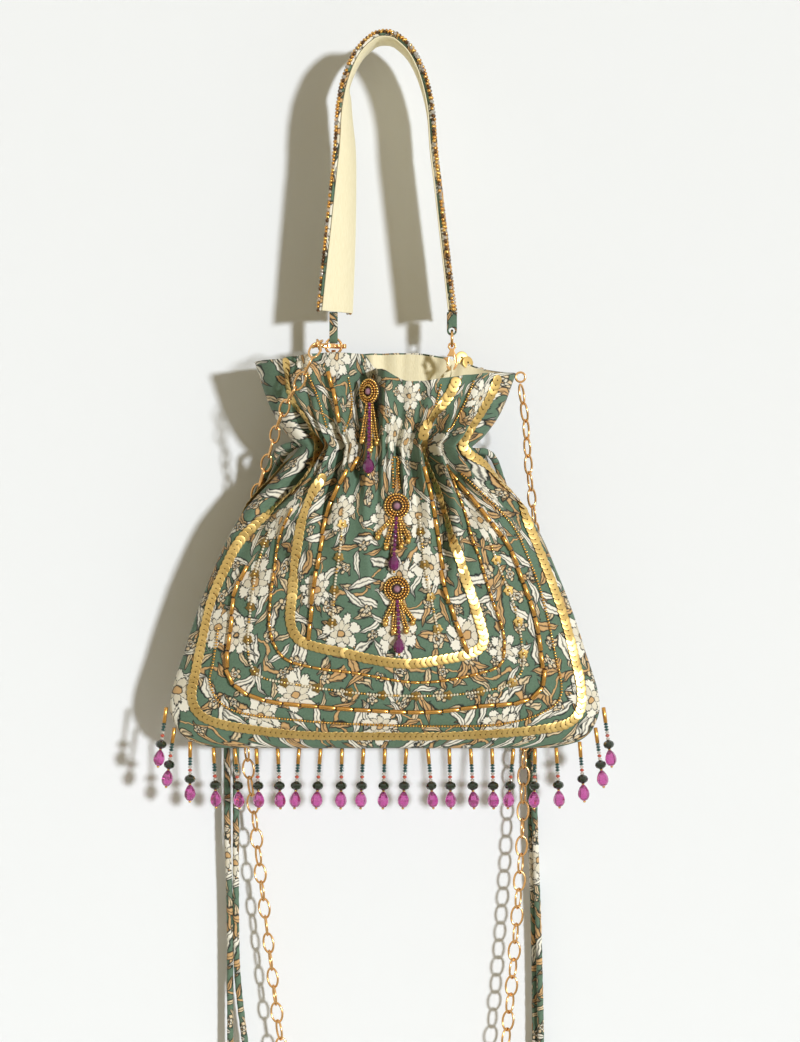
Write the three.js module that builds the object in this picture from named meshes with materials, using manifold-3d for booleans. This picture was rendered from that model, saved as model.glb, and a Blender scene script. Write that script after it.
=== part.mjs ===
// A potli bag: a gathered cloth pouch on a beaded strap handle, with two drawstrings,
// a shoulder chain, sequin bands, bead brooches and a bead fringe along the hem.
// Millimetres, +Z up, front towards -Y. The origin is under the top of the handle, where a hook holds it.

import * as THREE from 'three';
import { LoftGeometry } from 'three/addons/geometries/LoftGeometry.js';
import { mergeVertices } from 'three/addons/utils/BufferGeometryUtils.js';
import ManifoldModule from 'manifold-3d';

const wasm = await ManifoldModule();
wasm.setup();

// Clearances
const gap = 0.3;
const clothGap = 0.5;

// Bag body
const hemDrop = 384;
const bagForward = 7;
const hemWidth = 233;
const neckWidth = 84;
const rimWidth = 134;
const neckHeight = 163;
const ruffleHeight = 50;
const bellyDepth = 52;
const neckDepth = 48;
const rimDepth = 58;
const clothThickness = 1.2;
const liningThickness = 0.8;
const liningFloor = 12;
const channelHeight = 11;
const foldsPerSide = 10;
const neckFold = 4.2;
const rimFold = 3;
const frontPleat = 20;
const pleatSlack = 8;
const sideTurn = 0.38;

// Drawstrings
const cordDiameter = 3.6;
const cordSpacing = 4.6;
const slitLength = 9.4;
const slitHeight = 5.4;
const knotDiameter = 8;

// Handle
const strapWidth = 25;
const strapThickness = 2;
const facingThickness = 0.8;
const archHalfWidth = 24;
const archHeight = 58;
const handleDrop = 147;
const armSpread = 10;
const strapTwistLeft = 42;
const strapTwistRight = 3;
const twistStart = 25;
const beadEdgeDiameter = 2.6;
const hangFlat = 7;
const tabWidth = 4.4;
const tabWall = 0.9;

// Metal fittings
const ringRadius = 4.3;
const ringWire = 1.4;
const swingDrop = 161.5;
const ringLeftX = -28;
const ringRightX = 36.5;
const claspThickness = 2.4;
const claspReach = 10.8;
const loopDiameter = 1.8;
const chainRingRadius = 2.6;
const chainRingWire = 1.2;

// Chain
const linkPitch = 9.7;
const linkWidth = 7.5;
const linkWire = 1.1;

// Trim
const bandThickness = 0.8;
const bandWidth = 5.5;
const bandSide = 0.85;
const bandInnerSide = 0.45;
const bandHeight = 6.6;
const bandInnerHeight = 48;
const broochDiameter = 14;
const broochThickness = 2.6;
const endBead = 1.7;
const dropDiameter = 6.4;
const dropLength = 9.6;

// Fringe
const strandCount = 23;
const strandSides = 6;
const bugleLength = 8.7;
const bugleDiameter = 2.2;
const seedLength = 9.6;
const seedDiameter = 2.1;
const rondelleLength = 4.8;
const rondelleDiameter = 6;

// Colours and finishes
const finishes = {
  print: { color: 0x4b705f, roughness: 0.85, metalness: 0 },
  cream: { color: 0xeadfb0, roughness: 0.9, metalness: 0 },
  gold: { color: 0xd9a765, roughness: 0.3, metalness: 1 },
  sequin: { color: 0xc9a54c, roughness: 0.35, metalness: 0.8 },
  beads: { color: 0xb57a1e, roughness: 0.25, metalness: 0.4 },
  purple: { color: 0x7a1564, roughness: 0.2, metalness: 0 },
  magenta: { color: 0xb04c9b, roughness: 0.15, metalness: 0 },
};

const vec = (x, y, z) => new THREE.Vector3(x, y, z);
const lerp = THREE.MathUtils.lerp;
const smooth = THREE.MathUtils.smoothstep;
const radians = THREE.MathUtils.degToRad;

const bag = new THREE.Group();

function add(name, geometry, finish, place = {}) {
  const mesh = new THREE.Mesh(geometry, new THREE.MeshStandardMaterial(finishes[finish]));
  mesh.name = name;
  if (place.at) mesh.position.copy(place.at);
  if (place.turn) mesh.rotation.set(...place.turn);
  bag.add(mesh);
  return mesh;
}

// Joining and cutting solids
function toSolid(geometry) {
  const bare = new THREE.BufferGeometry().copy(geometry);
  bare.deleteAttribute('normal');
  bare.deleteAttribute('uv');
  const merged = mergeVertices(bare, 1e-4);
  const mesh = new wasm.Mesh({
    numProp: 3,
    vertProperties: Float32Array.from(merged.attributes.position.array),
    triVerts: Uint32Array.from(merged.index.array),
  });
  return new wasm.Manifold(mesh);
}

function toGeometry(solid) {
  const mesh = solid.getMesh();
  const geometry = new THREE.BufferGeometry();
  geometry.setAttribute('position', new THREE.BufferAttribute(mesh.vertProperties, 3));
  geometry.setIndex(new THREE.BufferAttribute(mesh.triVerts, 1));
  return geometry;
}

function join(geometries) {
  return toGeometry(wasm.Manifold.union(geometries.map(toSolid)));
}

function loft(sections, capEnd = true) {
  return new LoftGeometry(sections, { closed: true, capStart: true, capEnd });
}

function turned(profile, sides) {
  const points = profile.map(([radius, height]) => new THREE.Vector2(radius, height));
  return new THREE.LatheGeometry(points, sides).rotateX(Math.PI / 2);
}

// A round cord through points, with a section at each of them
function tube(points, diameter, sides) {
  const curve = new THREE.CatmullRomCurve3(points, false, 'centripetal');
  const normal = vec(0.3, 1, 0.2);
  return loft(points.map((point, i) => {
    const along = curve.getTangent(i / (points.length - 1));
    normal.addScaledVector(along, -normal.dot(along)).normalize();
    const side = along.clone().cross(normal);
    return Array.from({ length: sides }, (_, k) => {
      const angle = 2 * Math.PI * k / sides;
      return point.clone()
        .addScaledVector(normal, diameter / 2 * Math.cos(angle))
        .addScaledVector(side, diameter / 2 * Math.sin(angle));
    });
  }));
}

// Bag outline: height as a share of the neck's, width from neck to hem, depth as a share of the belly's
const bodyRows = [
  [0, 0.66, 0.08],
  [0.0215, 0.84, 0.18],
  [0.062, 0.945, 0.35],
  [0.135, 1, 0.56],
  [0.33, 0.885, 0.81],
  [0.55, 0.71, 0.97],
  [0.77, 0.46, 1],
  [0.905, 0.185, 0.9],
];
const ruffleRows = [0, 0.16, 0.5, 1];

// Rim heights over the ruffle's own, across the front and the back from left to right
const rimFront = new THREE.SplineCurve([
  [-1, -4], [-0.6, -1], [-0.2, 0], [-0.1, -8], [0, -9], [0.2, -16], [0.6, -13], [1, -10],
].map(([side, rise]) => new THREE.Vector2(side, rise)));
const rimBack = new THREE.SplineCurve([
  [-1, -4], [-0.4, 2], [0.2, 3], [0.6, -1], [1, -10],
].map(([side, rise]) => new THREE.Vector2(side, rise)));

const columns = 4 * foldsPerSide;

function columnSide(column) {
  const step = column / (2 * foldsPerSide);
  return step <= 1 ? 1 - 2 * step : 2 * step - 3;
}

const isFront = (column) => column > columns / 2 && column < columns;

function rimRise(curve, side) {
  const steps = 200;
  const points = curve.getPoints(steps);
  const next = points.findIndex((point) => point.x >= side - 1e-9);
  return points[Math.max(next, 0)].y;
}

// A row is the bag's size at one height; level is 0 at the hem, 1 at the neck and 2 at the rim
function bodyRow([share, width, depth]) {
  return {
    level: share,
    height: share * neckHeight,
    halfWidth: lerp(neckWidth, hemWidth, width) / 2,
    halfDepth: depth * bellyDepth / 2,
  };
}

function ruffleRow(share) {
  return {
    level: 1 + share,
    height: neckHeight,
    halfWidth: lerp(neckWidth, rimWidth, Math.sqrt(share)) / 2,
    halfDepth: lerp(neckDepth, rimDepth, share) / 2,
  };
}

const rows = [...bodyRows.map(bodyRow), ...ruffleRows.map(ruffleRow)];
const roundness = (row) => smooth(row.level, 0.35, 1);

function foldDepth(row) {
  if (row.level <= 1) return neckFold * smooth(row.level, 0.3, 1);
  return lerp(neckFold, rimFold, row.level - 1);
}

function rowHeight(row, column) {
  if (row.level <= 1) return row.height;
  const rise = rimRise(isFront(column) ? rimFront : rimBack, columnSide(column));
  return row.height + (row.level - 1) * (ruffleHeight + rise);
}

// A point of the unfolded outline, on the front for facing -1 and on the back for 1
function outlinePoint(row, side, facing) {
  const round = roundness(row);
  const spread = (1 - sideTurn) * side + sideTurn * side ** 15;
  const turn = lerp(side, spread, round) * Math.PI / 2;
  const flat = Math.pow(Math.max(1 - side * side, 0), 0.6);
  return new THREE.Vector2(
    row.halfWidth * lerp(side, Math.sin(turn), round),
    facing * row.halfDepth * lerp(flat, Math.max(Math.cos(turn), 0), round),
  );
}

function outward(row, side, facing) {
  if (Math.abs(side) > 0.999) return new THREE.Vector2(Math.sign(side), 0);
  const step = 0.02;
  const along = outlinePoint(row, side + step, facing).sub(outlinePoint(row, side - step, facing));
  return new THREE.Vector2(-facing * along.y, facing * along.x).normalize();
}

// A point of the cloth: folds alternate out and in, and lift is measured outwards from the cloth's face
function clothPoint(row, column, lift, fold) {
  const side = columnSide(column);
  const facing = isFront(column) ? -1 : 1;
  const base = outlinePoint(row, side, facing);
  const swing = column % 2 === 0 ? fold : -fold;
  const pleated = isFront(column) && Math.abs(side + 1 / foldsPerSide) < 0.01;
  const pleat = pleated ? frontPleat * Math.max(row.level - 1, 0) : 0;
  base.addScaledVector(outward(row, side, facing), lift + swing - pleat);
  return vec(base.x, base.y - bagForward, rowHeight(row, column) - hemDrop);
}

function clothRing(row, lift, fold = foldDepth(row)) {
  return Array.from({ length: columns }, (_, column) => clothPoint(row, column, lift, fold));
}

// Where the inside of the front and back meet in the bottom seam
function seam(row, lift) {
  return clothRing(row, lift, 0).map((point) => point.setY(-bagForward));
}

// Outer cloth, open at the mouth, with a slit on each side for its drawstring
const cordZ = (level) => neckHeight - hemDrop + level * cordSpacing / 2;

const outsideOnly = [0, 0.0215, 0.55, 0.905, 1.16];

function outerCloth() {
  const inner = rows.filter((row) => !outsideOnly.includes(row.level)).reverse();
  const sections = [
    ...rows.map((row) => clothRing(row, 0)),
    ...inner.map((row) => clothRing(row, -clothThickness)),
    seam(rows[1], -clothThickness),
  ];
  const slit = (sign) => {
    const reach = neckWidth / 4;
    const box = new THREE.BoxGeometry(reach, slitLength, slitHeight);
    return toSolid(box.translate(sign * neckWidth / 2, -bagForward, cordZ(-sign)));
  };
  return toGeometry(toSolid(loft(sections, false)).subtract(slit(-1)).subtract(slit(1)));
}

// Lining: it lies inside the folds and stands off at the neck, which leaves the drawstrings their channel
const channelInset = clothThickness + neckFold + 2 * clothGap + cordDiameter + 1;
const neckRow = rows.find((row) => row.level === 1);
const rimRow = rows.at(-1);

function channelRow(sign) {
  const half = sign * channelHeight / 2;
  return sign < 0
    ? { ...neckRow, level: 0.999, height: neckHeight + half }
    : { ...neckRow, level: 1 + half / ruffleHeight };
}

function liningRing(row, depth) {
  if (row === rimRow) {
    const slack = (column) => (inPleat(column) ? pleatSlack : 0);
    const inset = clothThickness + clothGap + depth;
    return clothRing(row, 0).map((_, i) => clothPoint(row, i, -inset - slack(i), rimFold));
  }
  const atNeck = Math.abs(row.level - 1) < 0.2;
  const inset = atNeck ? channelInset : clothThickness + 1.5 * foldDepth(row) + clothGap;
  return clothRing(row, -inset - depth, 0);
}

const inPleat = (column) => isFront(column) && Math.abs(columnSide(column) + 1 / foldsPerSide) < 0.11;
const liningUpper = [channelRow(-1), channelRow(1), rimRow];

function lining() {
  const floor = bodyRow([liningFloor / neckHeight, 0.92, 0.3]);
  const floorSeam = { ...floor, height: floor.height + 2 * liningThickness };
  const used = [...rows.filter((row) => row.level === 0.33 || row.level === 0.77), ...liningUpper];
  return loft([
    liningRing(floor, 0),
    ...used.map((row) => liningRing(row, 0)),
    ...used.toReversed().map((row) => liningRing(row, liningThickness)),
    seam(floorSeam, -clothThickness - clothGap - liningThickness),
  ], false);
}

// A point on the lining's inner face between the channel and the rim
function liningFace(column, share) {
  const [low, high] = [channelRow(1), rimRow].map((row) => liningRing(row, liningThickness)[column]);
  return low.lerp(high, share);
}

add('outer_cloth', outerCloth(), 'print');
add('lining', lining(), 'cream');

// Drawstrings: each runs round the neck in the channel and leaves by its slit, with two knotted tails
function channelRun(sign) {
  const inset = clothThickness + neckFold + clothGap + cordDiameter / 2;
  const place = (side, facing) => {
    const base = outlinePoint(neckRow, side, facing);
    base.addScaledVector(outward(neckRow, side, facing), -inset);
    return vec(sign * base.x, base.y - bagForward, cordZ(-sign));
  };
  const sides = [0.8, 0.6, 0.2, -0.2, -0.6, -0.9];
  const back = sides.map((side) => place(side, 1));
  const front = sides.map((side) => place(side, -1)).reverse();
  return [...back, place(-0.999, 1), ...front];
}

function drawstring(sign, backTail, frontTail) {
  const inside = (lane) => slitTail(sign, lane).setX(sign * (slitX - 10));
  const route = [...backTail.toReversed(), inside(1), ...channelRun(sign), inside(-1), ...frontTail];
  const knot = (at) => new THREE.IcosahedronGeometry(knotDiameter / 2, 0).translate(at.x, at.y, at.z);
  return join([tube(route, cordDiameter, 8), knot(route[0]), knot(route.at(-1))]);
}

const slitX = neckWidth / 2 + neckFold;
const slitTail = (sign, lane) => vec(sign * slitX, lane * 2.2 - bagForward, cordZ(-sign));

add('drawstring_left', drawstring(-1, [
  slitTail(-1, 1), vec(-53.5, 1.5, -223), vec(-59, 9.5, -231), vec(-65.5, 15.5, -245), vec(-74, 22, -266),
  vec(-81.5, 24, -312), vec(-82.8, 24, -420), vec(-82.4, 24, -506), vec(-80.6, 24, -528), vec(-76.5, 24, -560),
], [
  slitTail(-1, -1), vec(-57, -4, -222), vec(-63, 4, -231), vec(-69.5, 10.5, -244), vec(-79, 18, -264),
  vec(-86, 23, -310), vec(-87.7, 24, -420), vec(-86.3, 24, -480), vec(-86, 24, -566),
]), 'print');
add('drawstring_right', drawstring(1, [
  slitTail(1, 1), vec(52.5, -1, -224.5), vec(55, 7, -229.5), vec(58, 15, -240), vec(64, 21.5, -258),
  vec(72, 27.5, -290), vec(79, 27.9, -332), vec(80.8, 27.9, -420), vec(83, 27.9, -500), vec(83.5, 27.9, -556),
], [
  slitTail(1, -1), vec(55, -6, -223.5), vec(60, 2, -228), vec(64, 10, -238), vec(70, 17, -255),
  vec(77, 22.5, -285), vec(81.5, 24, -330), vec(82.8, 24, -420), vec(85.4, 24, -500), vec(86.8, 24, -566),
]), 'print');

// Handle: a strap that arches over the hang point and turns along its arms
const armLength = handleDrop - archHeight;

function strapStations() {
  const stations = [];
  const armSteps = 4;
  for (let i = 0; i < armSteps; i++) {
    const along = 1 - i / armSteps;
    stations.push([-archHalfWidth - armSpread * along, -archHeight - armLength * along]);
  }
  for (const turn of [0, 22, 42, 60, 75]) stations.push(archPoint(turn, -1));
  stations.push([-hangFlat / 2, 0], [hangFlat / 2, 0]);
  for (const turn of [75, 60, 42, 22, 0]) stations.push(archPoint(turn, 1));
  for (let i = 1; i <= armSteps; i++) {
    const along = i / armSteps;
    stations.push([archHalfWidth + armSpread * along, -archHeight - armLength * along]);
  }
  return stations;
}

function archPoint(turn, sign) {
  const reach = archHalfWidth * Math.cos(radians(turn)) ** 1.15;
  return [sign * reach, archHeight * (Math.sin(radians(turn)) - 1)];
}

// Frames along the strap: its front edge, the way across it and the way out of the arch
function strapFrames() {
  const stations = strapStations();
  return stations.map(([x, z], i) => {
    const drop = Math.max(0, (-z - twistStart) / (handleDrop - twistStart));
    const twist = radians((x < 0 ? strapTwistLeft : strapTwistRight) * drop ** 0.6);
    const across = vec(Math.sin(twist), Math.cos(twist), 0);
    const [x0, z0] = stations[Math.max(i - 1, 0)];
    const [x1, z1] = stations[Math.min(i + 1, stations.length - 1)];
    const forward = vec(x1 - x0, 0, z1 - z0).normalize();
    const out = across.clone().cross(forward).normalize().negate();
    const front = vec(x, -strapWidth / 2 * Math.cos(twist), z);
    return { front, across, out, forward };
  });
}

const strap = strapFrames();

function strapLayer(inside, outside, margin = 0) {
  const [near, far] = [-margin, strapWidth + margin];
  return loft(strap.map(({ front, across, out, forward }, i) => {
    const overrun = i === 0 ? -margin : i === strap.length - 1 ? margin : 0;
    const start = front.clone().addScaledVector(forward, overrun);
    const corner = (width, lift) => start.clone().addScaledVector(across, width).addScaledVector(out, lift);
    return [corner(near, inside), corner(far, inside), corner(far, outside), corner(near, outside)];
  }));
}

const strapOuter = facingThickness + gap + strapThickness;

function outerStrap() {
  const whole = toSolid(strapLayer(0, strapOuter));
  return toGeometry(whole.subtract(toSolid(strapLayer(-1, facingThickness + gap, 0.5))));
}

function beadEdge(width) {
  const radius = beadEdgeDiameter / 2;
  return loft(strap.map(({ front, across, out }) => {
    const centre = front.clone().addScaledVector(across, width).addScaledVector(out, strapOuter + gap + radius);
    return [1, 3, 5].map((i) => centre.clone()
      .addScaledVector(across, radius * Math.cos(i * Math.PI / 3))
      .addScaledVector(out, radius * Math.sin(i * Math.PI / 3)));
  }));
}

add('handle_strap', outerStrap(), 'print');
add('handle_facing', strapLayer(0, facingThickness), 'cream');
add('handle_beads_front', beadEdge(beadEdgeDiameter / 2), 'beads');
add('handle_beads_back', beadEdge(strapWidth - beadEdgeDiameter / 2), 'beads');

// Tabs at the strap's ends, each folded round the wire of its ring
const wireRadius = ringWire / 2;
const wireSag = ringRadius - Math.sqrt(ringRadius ** 2 - (tabWidth / 2) ** 2);
const tabBore = wireRadius + wireSag + gap + 0.2;
const tabRadius = tabBore + tabWall;

function tab(length) {
  const profile = new THREE.Shape();
  profile.moveTo(tabRadius, 0);
  profile.lineTo(tabRadius, length);
  profile.lineTo(-tabRadius, length);
  profile.lineTo(-tabRadius, 0);
  profile.absarc(0, 0, tabRadius, Math.PI, 2 * Math.PI);
  profile.holes.push(new THREE.Path().absarc(0, 0, tabBore, 0, 2 * Math.PI, true));
  const solid = new THREE.ExtrudeGeometry(profile, { depth: tabWidth, bevelEnabled: false, curveSegments: 4 });
  return solid.translate(0, 0, -tabWidth / 2).rotateX(Math.PI / 2);
}

const swingZ = -swingDrop;
const tabLeftLength = swingDrop - handleDrop - gap;
const tabRightZ = swingZ + ringRadius;
const tabRightLength = -handleDrop - tabRightZ - gap;
add('handle_tab_left', tab(tabLeftLength), 'print',
  { at: vec(ringLeftX, 0, swingZ), turn: [0, 0, Math.PI / 2] });
add('handle_tab_right', tab(tabRightLength), 'print', { at: vec(ringRightX, 0, tabRightZ) });

// Rings: the left one faces the front and swings with the bag, the right one lies across the handle
const ring = () => new THREE.TorusGeometry(ringRadius, wireRadius, 4, 12).rotateX(Math.PI / 2);
const ringLeftZ = swingZ - ringRadius;
add('ring_left', ring(), 'gold', { at: vec(ringLeftX, 0, ringLeftZ) });
add('ring_right', ring(), 'gold', { at: vec(ringRightX, 0, swingZ), turn: [0, 0, Math.PI / 2] });

// Lobster clasps, drawn with the eye at the origin and the hook below it
const eyeBore = wireRadius + gap + 0.35;
const eyeRadius = eyeBore + 1.1;

function clasp() {
  const outline = new THREE.Shape();
  outline.absarc(0, 0, eyeRadius, radians(-60), radians(240));
  outline.lineTo(-1.7, -3.6);
  outline.quadraticCurveTo(-3.6, -6, -3.4, -9);
  outline.quadraticCurveTo(-2.8, -13.4, 0.4, -13.4);
  outline.quadraticCurveTo(2.9, -13.2, 3, -10.8);
  outline.lineTo(1.7, -10.6);
  outline.quadraticCurveTo(1.4, -12, 0, -12);
  outline.quadraticCurveTo(-2, -11.6, -1.8, -8.5);
  outline.lineTo(-0.6, -5.6);
  outline.lineTo(2.9, -5.4);
  outline.lineTo(1.7, -3.6);
  outline.holes.push(new THREE.Path().absarc(0, 0, eyeBore, 0, 2 * Math.PI, true));
  const solid = new THREE.ExtrudeGeometry(outline,
    { depth: claspThickness, bevelEnabled: false, curveSegments: 3 });
  return solid.translate(0, 0, -claspThickness / 2).rotateX(Math.PI / 2);
}

function claspLever() {
  const outline = new THREE.Shape();
  outline.moveTo(1.5, -5.9);
  outline.lineTo(2.9, -5.75);
  outline.lineTo(4.3, -7);
  outline.lineTo(3.1, -8);
  outline.lineTo(2.9, -10.35);
  outline.lineTo(1.7, -10.2);
  const depth = claspThickness - 0.6;
  const solid = new THREE.ExtrudeGeometry(outline, { depth, bevelEnabled: false });
  return solid.translate(0, 0, -depth / 2).rotateX(Math.PI / 2);
}

const claspLeftAt = vec(ringLeftX, 0, ringLeftZ - ringRadius);
const claspRightAt = vec(ringRightX, 0, swingZ - ringRadius);
const claspPlaces = {
  left: { at: claspLeftAt, turn: [0, 0, Math.PI / 2] },
  right: { at: claspRightAt, turn: [0, 0, Math.PI] },
};
for (const [name, place] of Object.entries(claspPlaces)) {
  add(`clasp_${name}`, clasp(), 'gold', place);
  add(`clasp_lever_${name}`, claspLever(), 'gold', place);
}

// Cloth loops inside the mouth, sewn to the back of the lining, that the two clasps hook on
const loopZ = (at) => at.z - claspReach;
const loopInset = vec(0, -gap - loopDiameter / 2 - 0.8, 0);

function loopLeft() {
  const { x } = claspLeftAt;
  const z = loopZ(claspLeftAt);
  const points = [liningFace(14, 0.3).add(loopInset), vec(x - 5, 4, z - 1), vec(x - 2, 0, z), vec(x + 2, 0, z),
    vec(x + 5, 4, z - 1), liningFace(12, 0.3).add(loopInset)];
  return tube(points, loopDiameter, 5);
}

function loopRight() {
  const { x } = claspRightAt;
  const z = loopZ(claspRightAt);
  const points = [liningFace(6, 0.45).add(loopInset), vec(x, 5, z), vec(x, 1.6, z), vec(x, -2, z), vec(x, -4, z - 3),
    vec(x, 0, z - 7), liningFace(6, 0.2).add(loopInset)];
  return tube(points, loopDiameter, 5);
}

add('clasp_loop_left', loopLeft(), 'cream');
add('clasp_loop_right', loopRight(), 'cream');

// The chain's own clasp lies level and hooks the right side of the left ring
const chainClaspTurn = radians(31);
const chainClaspAt = vec(ringLeftX + ringRadius - claspReach * Math.cos(chainClaspTurn),
  -claspReach * Math.sin(chainClaspTurn), ringLeftZ);
const level = (geometry) => geometry.rotateY(-Math.PI / 2).rotateX(Math.PI / 2).rotateZ(chainClaspTurn);
add('chain_clasp', level(clasp()), 'gold', { at: chainClaspAt });
add('chain_clasp_lever', level(claspLever()), 'gold', { at: chainClaspAt });

// Chain route, from the left clasp over the ruffle, down behind the bag and up to the right rim corner
const rimCorner = rimWidth / 2 + rimFold;
const cornerHeight = neckHeight + ruffleHeight + rimRise(rimBack, 1) - hemDrop;
const chainRingAt = vec(rimCorner + gap + chainRingRadius + chainRingWire / 2, -bagForward, cornerHeight - 2);
const chainRoute = [
  vec(chainClaspAt.x, chainClaspAt.y - eyeRadius - gap - linkWire, ringLeftZ), vec(-35, -22, -167),
  vec(-36, -38, -168), vec(-38, -44, -175), vec(-44, -40, -186), vec(-50, -34, -195), vec(-55, -26, -204),
  vec(-59, -17, -214), vec(-63, -8, -226), vec(-67, -1, -237), vec(-71, 5, -249), vec(-74, 12, -266),
  vec(-75, 17, -304), vec(-76.5, 19, -348),
  vec(-76.8, 20, -385), vec(-72.5, 20, -424), vec(-68.7, 20, -460), vec(-63.8, 20, -501),
  vec(-58.5, 20, -544), vec(-51, 20, -590), vec(-38, 20, -624), vec(-19, 20, -645), vec(5, 20, -652),
  vec(29, 20, -645), vec(47, 20, -624), vec(60, 20, -590), vec(67.6, 20, -541), vec(72.8, 20, -481),
  vec(75.8, 20, -435), vec(76.8, 20, -396), vec(78, 19, -358), vec(79, 18, -315), vec(81, 16, -282),
  vec(82, 11, -262), vec(80, 6, -245), vec(78, 0, -228), vec(76.5, -4, -208),
  vec(chainRingAt.x, -bagForward, chainRingAt.z - chainRingRadius - chainRingWire / 2 - gap - linkWire),
];

// Links are open ovals, each sharing its ends with the next, and all lie facing the front
function chain(route) {
  const curve = new THREE.CatmullRomCurve3(route, false, 'centripetal');
  curve.arcLengthDivisions = 2000;
  const links = Math.round(curve.getLength() / linkPitch);
  const points = [];
  const faces = [];
  const half = linkWire / 2;
  const frame = (share) => {
    const along = curve.getTangentAt(share);
    const side = along.clone().cross(vec(0, -1, 0)).normalize();
    return { at: curve.getPointAt(share), along, side, up: side.clone().cross(along) };
  };
  const point = ({ at, along, side, up }, x, y, z) => points.push(at.clone()
    .addScaledVector(along, x).addScaledVector(side, y).addScaledVector(up, z)) - 1;
  const quad = (a, b, c, d) => faces.push(a, b, c, a, c, d);

  const knuckles = [];
  for (let i = 0; i <= links; i++) {
    const place = frame(i / links);
    const left = point(place, 0, linkWire * 1.2, 0);
    const right = point(place, 0, -linkWire * 1.2, 0);
    const before = [point(place, -linkWire, 0, half), point(place, -linkWire, 0, -half)];
    const after = [point(place, linkWire, 0, half), point(place, linkWire, 0, -half)];
    knuckles.push({ left, right, before, after });
    faces.push(left, after[0], before[0], right, before[0], after[0]);
    faces.push(left, before[1], after[1], right, after[1], before[1]);
  }
  const arm = (start, end, share, sign) => {
    const outer = linkWidth / 2;
    const inner = outer - linkWire;
    const place = frame((share + 0.5) / links);
    const middle = [point(place, 0, sign * outer, 0), point(place, 0, sign * inner, half),
      point(place, 0, sign * inner, -half)];
    const sections = [start, middle, end];
    for (let i = 0; i < 2; i++) {
      for (let j = 0; j < 3; j++) {
        const corners = [sections[i][j], sections[i][(j + 1) % 3],
          sections[i + 1][(j + 1) % 3], sections[i + 1][j]];
        quad(...(sign > 0 ? corners.reverse() : corners));
      }
    }
  };
  for (let i = 0; i < links; i++) {
    const [from, to] = [knuckles[i], knuckles[i + 1]];
    arm([from.left, ...from.after], [to.left, ...to.before], i, 1);
    arm([from.right, ...from.after], [to.right, ...to.before], i, -1);
  }
  const [first, last] = [knuckles[0], knuckles[links]];
  faces.push(first.left, ...first.before, first.right, ...first.before.toReversed());
  faces.push(last.left, ...last.after.toReversed(), last.right, ...last.after);
  const geometry = new THREE.BufferGeometry().setFromPoints(points);
  geometry.setIndex(faces);
  geometry.computeVertexNormals();
  return geometry;
}

add('shoulder_chain', chain(chainRoute), 'gold');
const chainRing = new THREE.TorusGeometry(chainRingRadius, chainRingWire / 2, 4, 10).rotateX(Math.PI / 2);
add('chain_ring', chainRing, 'gold', { at: chainRingAt });

// Sequin bands: U-shaped strips that lie on the front, up both sides and across above the hem
function clothAcross(row, side, lift) {
  const place = (side + 1) * foldsPerSide;
  const column = Math.floor(place);
  const from = clothPoint(row, columns / 2 + column, lift, foldDepth(row));
  const to = clothPoint(row, (columns / 2 + column + 1) % columns, lift, foldDepth(row));
  return from.lerp(to, place - column);
}

function clothAt(side, height, lift) {
  const upper = rows.findIndex((row) => row.level <= 1 && row.height >= height);
  const [low, high] = [rows[upper - 1], rows[upper]];
  const share = (height - low.height) / (high.height - low.height);
  return clothAcross(low, side, lift).lerp(clothAcross(high, side, lift), share);
}

function sequinBand(side, height) {
  const low = clothGap + 0.55;
  const high = low + bandThickness;
  const half = bandWidth / 2;
  const ease = 0.7;
  const spread = bandWidth / hemWidth;
  const strip = (outer, inner) => [outer(low), inner(low), inner(high), outer(high)];
  const crossRow = (row, sign) => strip(
    (lift) => clothAcross(row, sign * (side + spread), lift + ease * foldDepth(row)),
    (lift) => clothAcross(row, sign * (side - spread), lift + ease * foldDepth(row)),
  );
  const crossColumn = (at) => strip(
    (lift) => clothAt(at, height - half, lift),
    (lift) => clothAt(at, height + half, lift),
  );
  const corner = (sign) => strip(
    (lift) => clothAt(sign * (side + spread), height - half, lift),
    (lift) => clothAt(sign * (side - spread), height + half, lift),
  );
  const above = rows.filter((row) => row.height > height + half || row.level > 1);
  const between = [];
  for (let fold = 1; fold < 2 * foldsPerSide; fold++) {
    const at = fold / foldsPerSide - 1;
    if (Math.abs(at) < side - spread) between.push(at);
  }
  return loft([
    ...above.toReversed().map((row) => crossRow(row, -1)),
    corner(-1),
    ...between.map(crossColumn),
    corner(1),
    ...above.map((row) => crossRow(row, 1)),
  ]);
}

add('sequin_band_outer', sequinBand(bandSide, bandHeight), 'sequin');
add('sequin_band_inner', sequinBand(bandInnerSide, bandInnerHeight), 'sequin');

// Brooches: a stitched medallion with a fan of bead strands and a drop below it
function medallion() {
  const radius = broochDiameter / 2;
  const disc = turned([[0, 0], [radius, 0], [radius, 1], [radius * 0.55, 1.4], [radius * 0.4, broochThickness],
    [0, broochThickness]], 8);
  return disc.rotateX(Math.PI / 2);
}

function beadStrand(from, to) {
  const ball = new THREE.OctahedronGeometry(endBead, 0).translate(to.x, to.y, to.z);
  return [tube([from, to], 1.6, 3), ball];
}

function brooch(ends, dropTop) {
  const lift = -1.75;
  const root = (x) => vec(x * 0.2, lift, -broochDiameter / 3);
  const strands = ends.flatMap(([x, z]) => beadStrand(root(x), vec(x, lift, z)));
  const middle = dropTop.clone().add(vec(0, 0, gap + endBead));
  return join([medallion(), ...strands, ...beadStrand(root(dropTop.x), middle)]);
}

function beadDrop() {
  const radius = dropDiameter / 2;
  return turned([[0, 0], [0.9, 0], [radius * 0.8, -dropLength * 0.35], [radius, -dropLength * 0.6],
    [radius * 0.6, -dropLength * 0.92], [0, -dropLength]].reverse(), 6);
}

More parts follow.
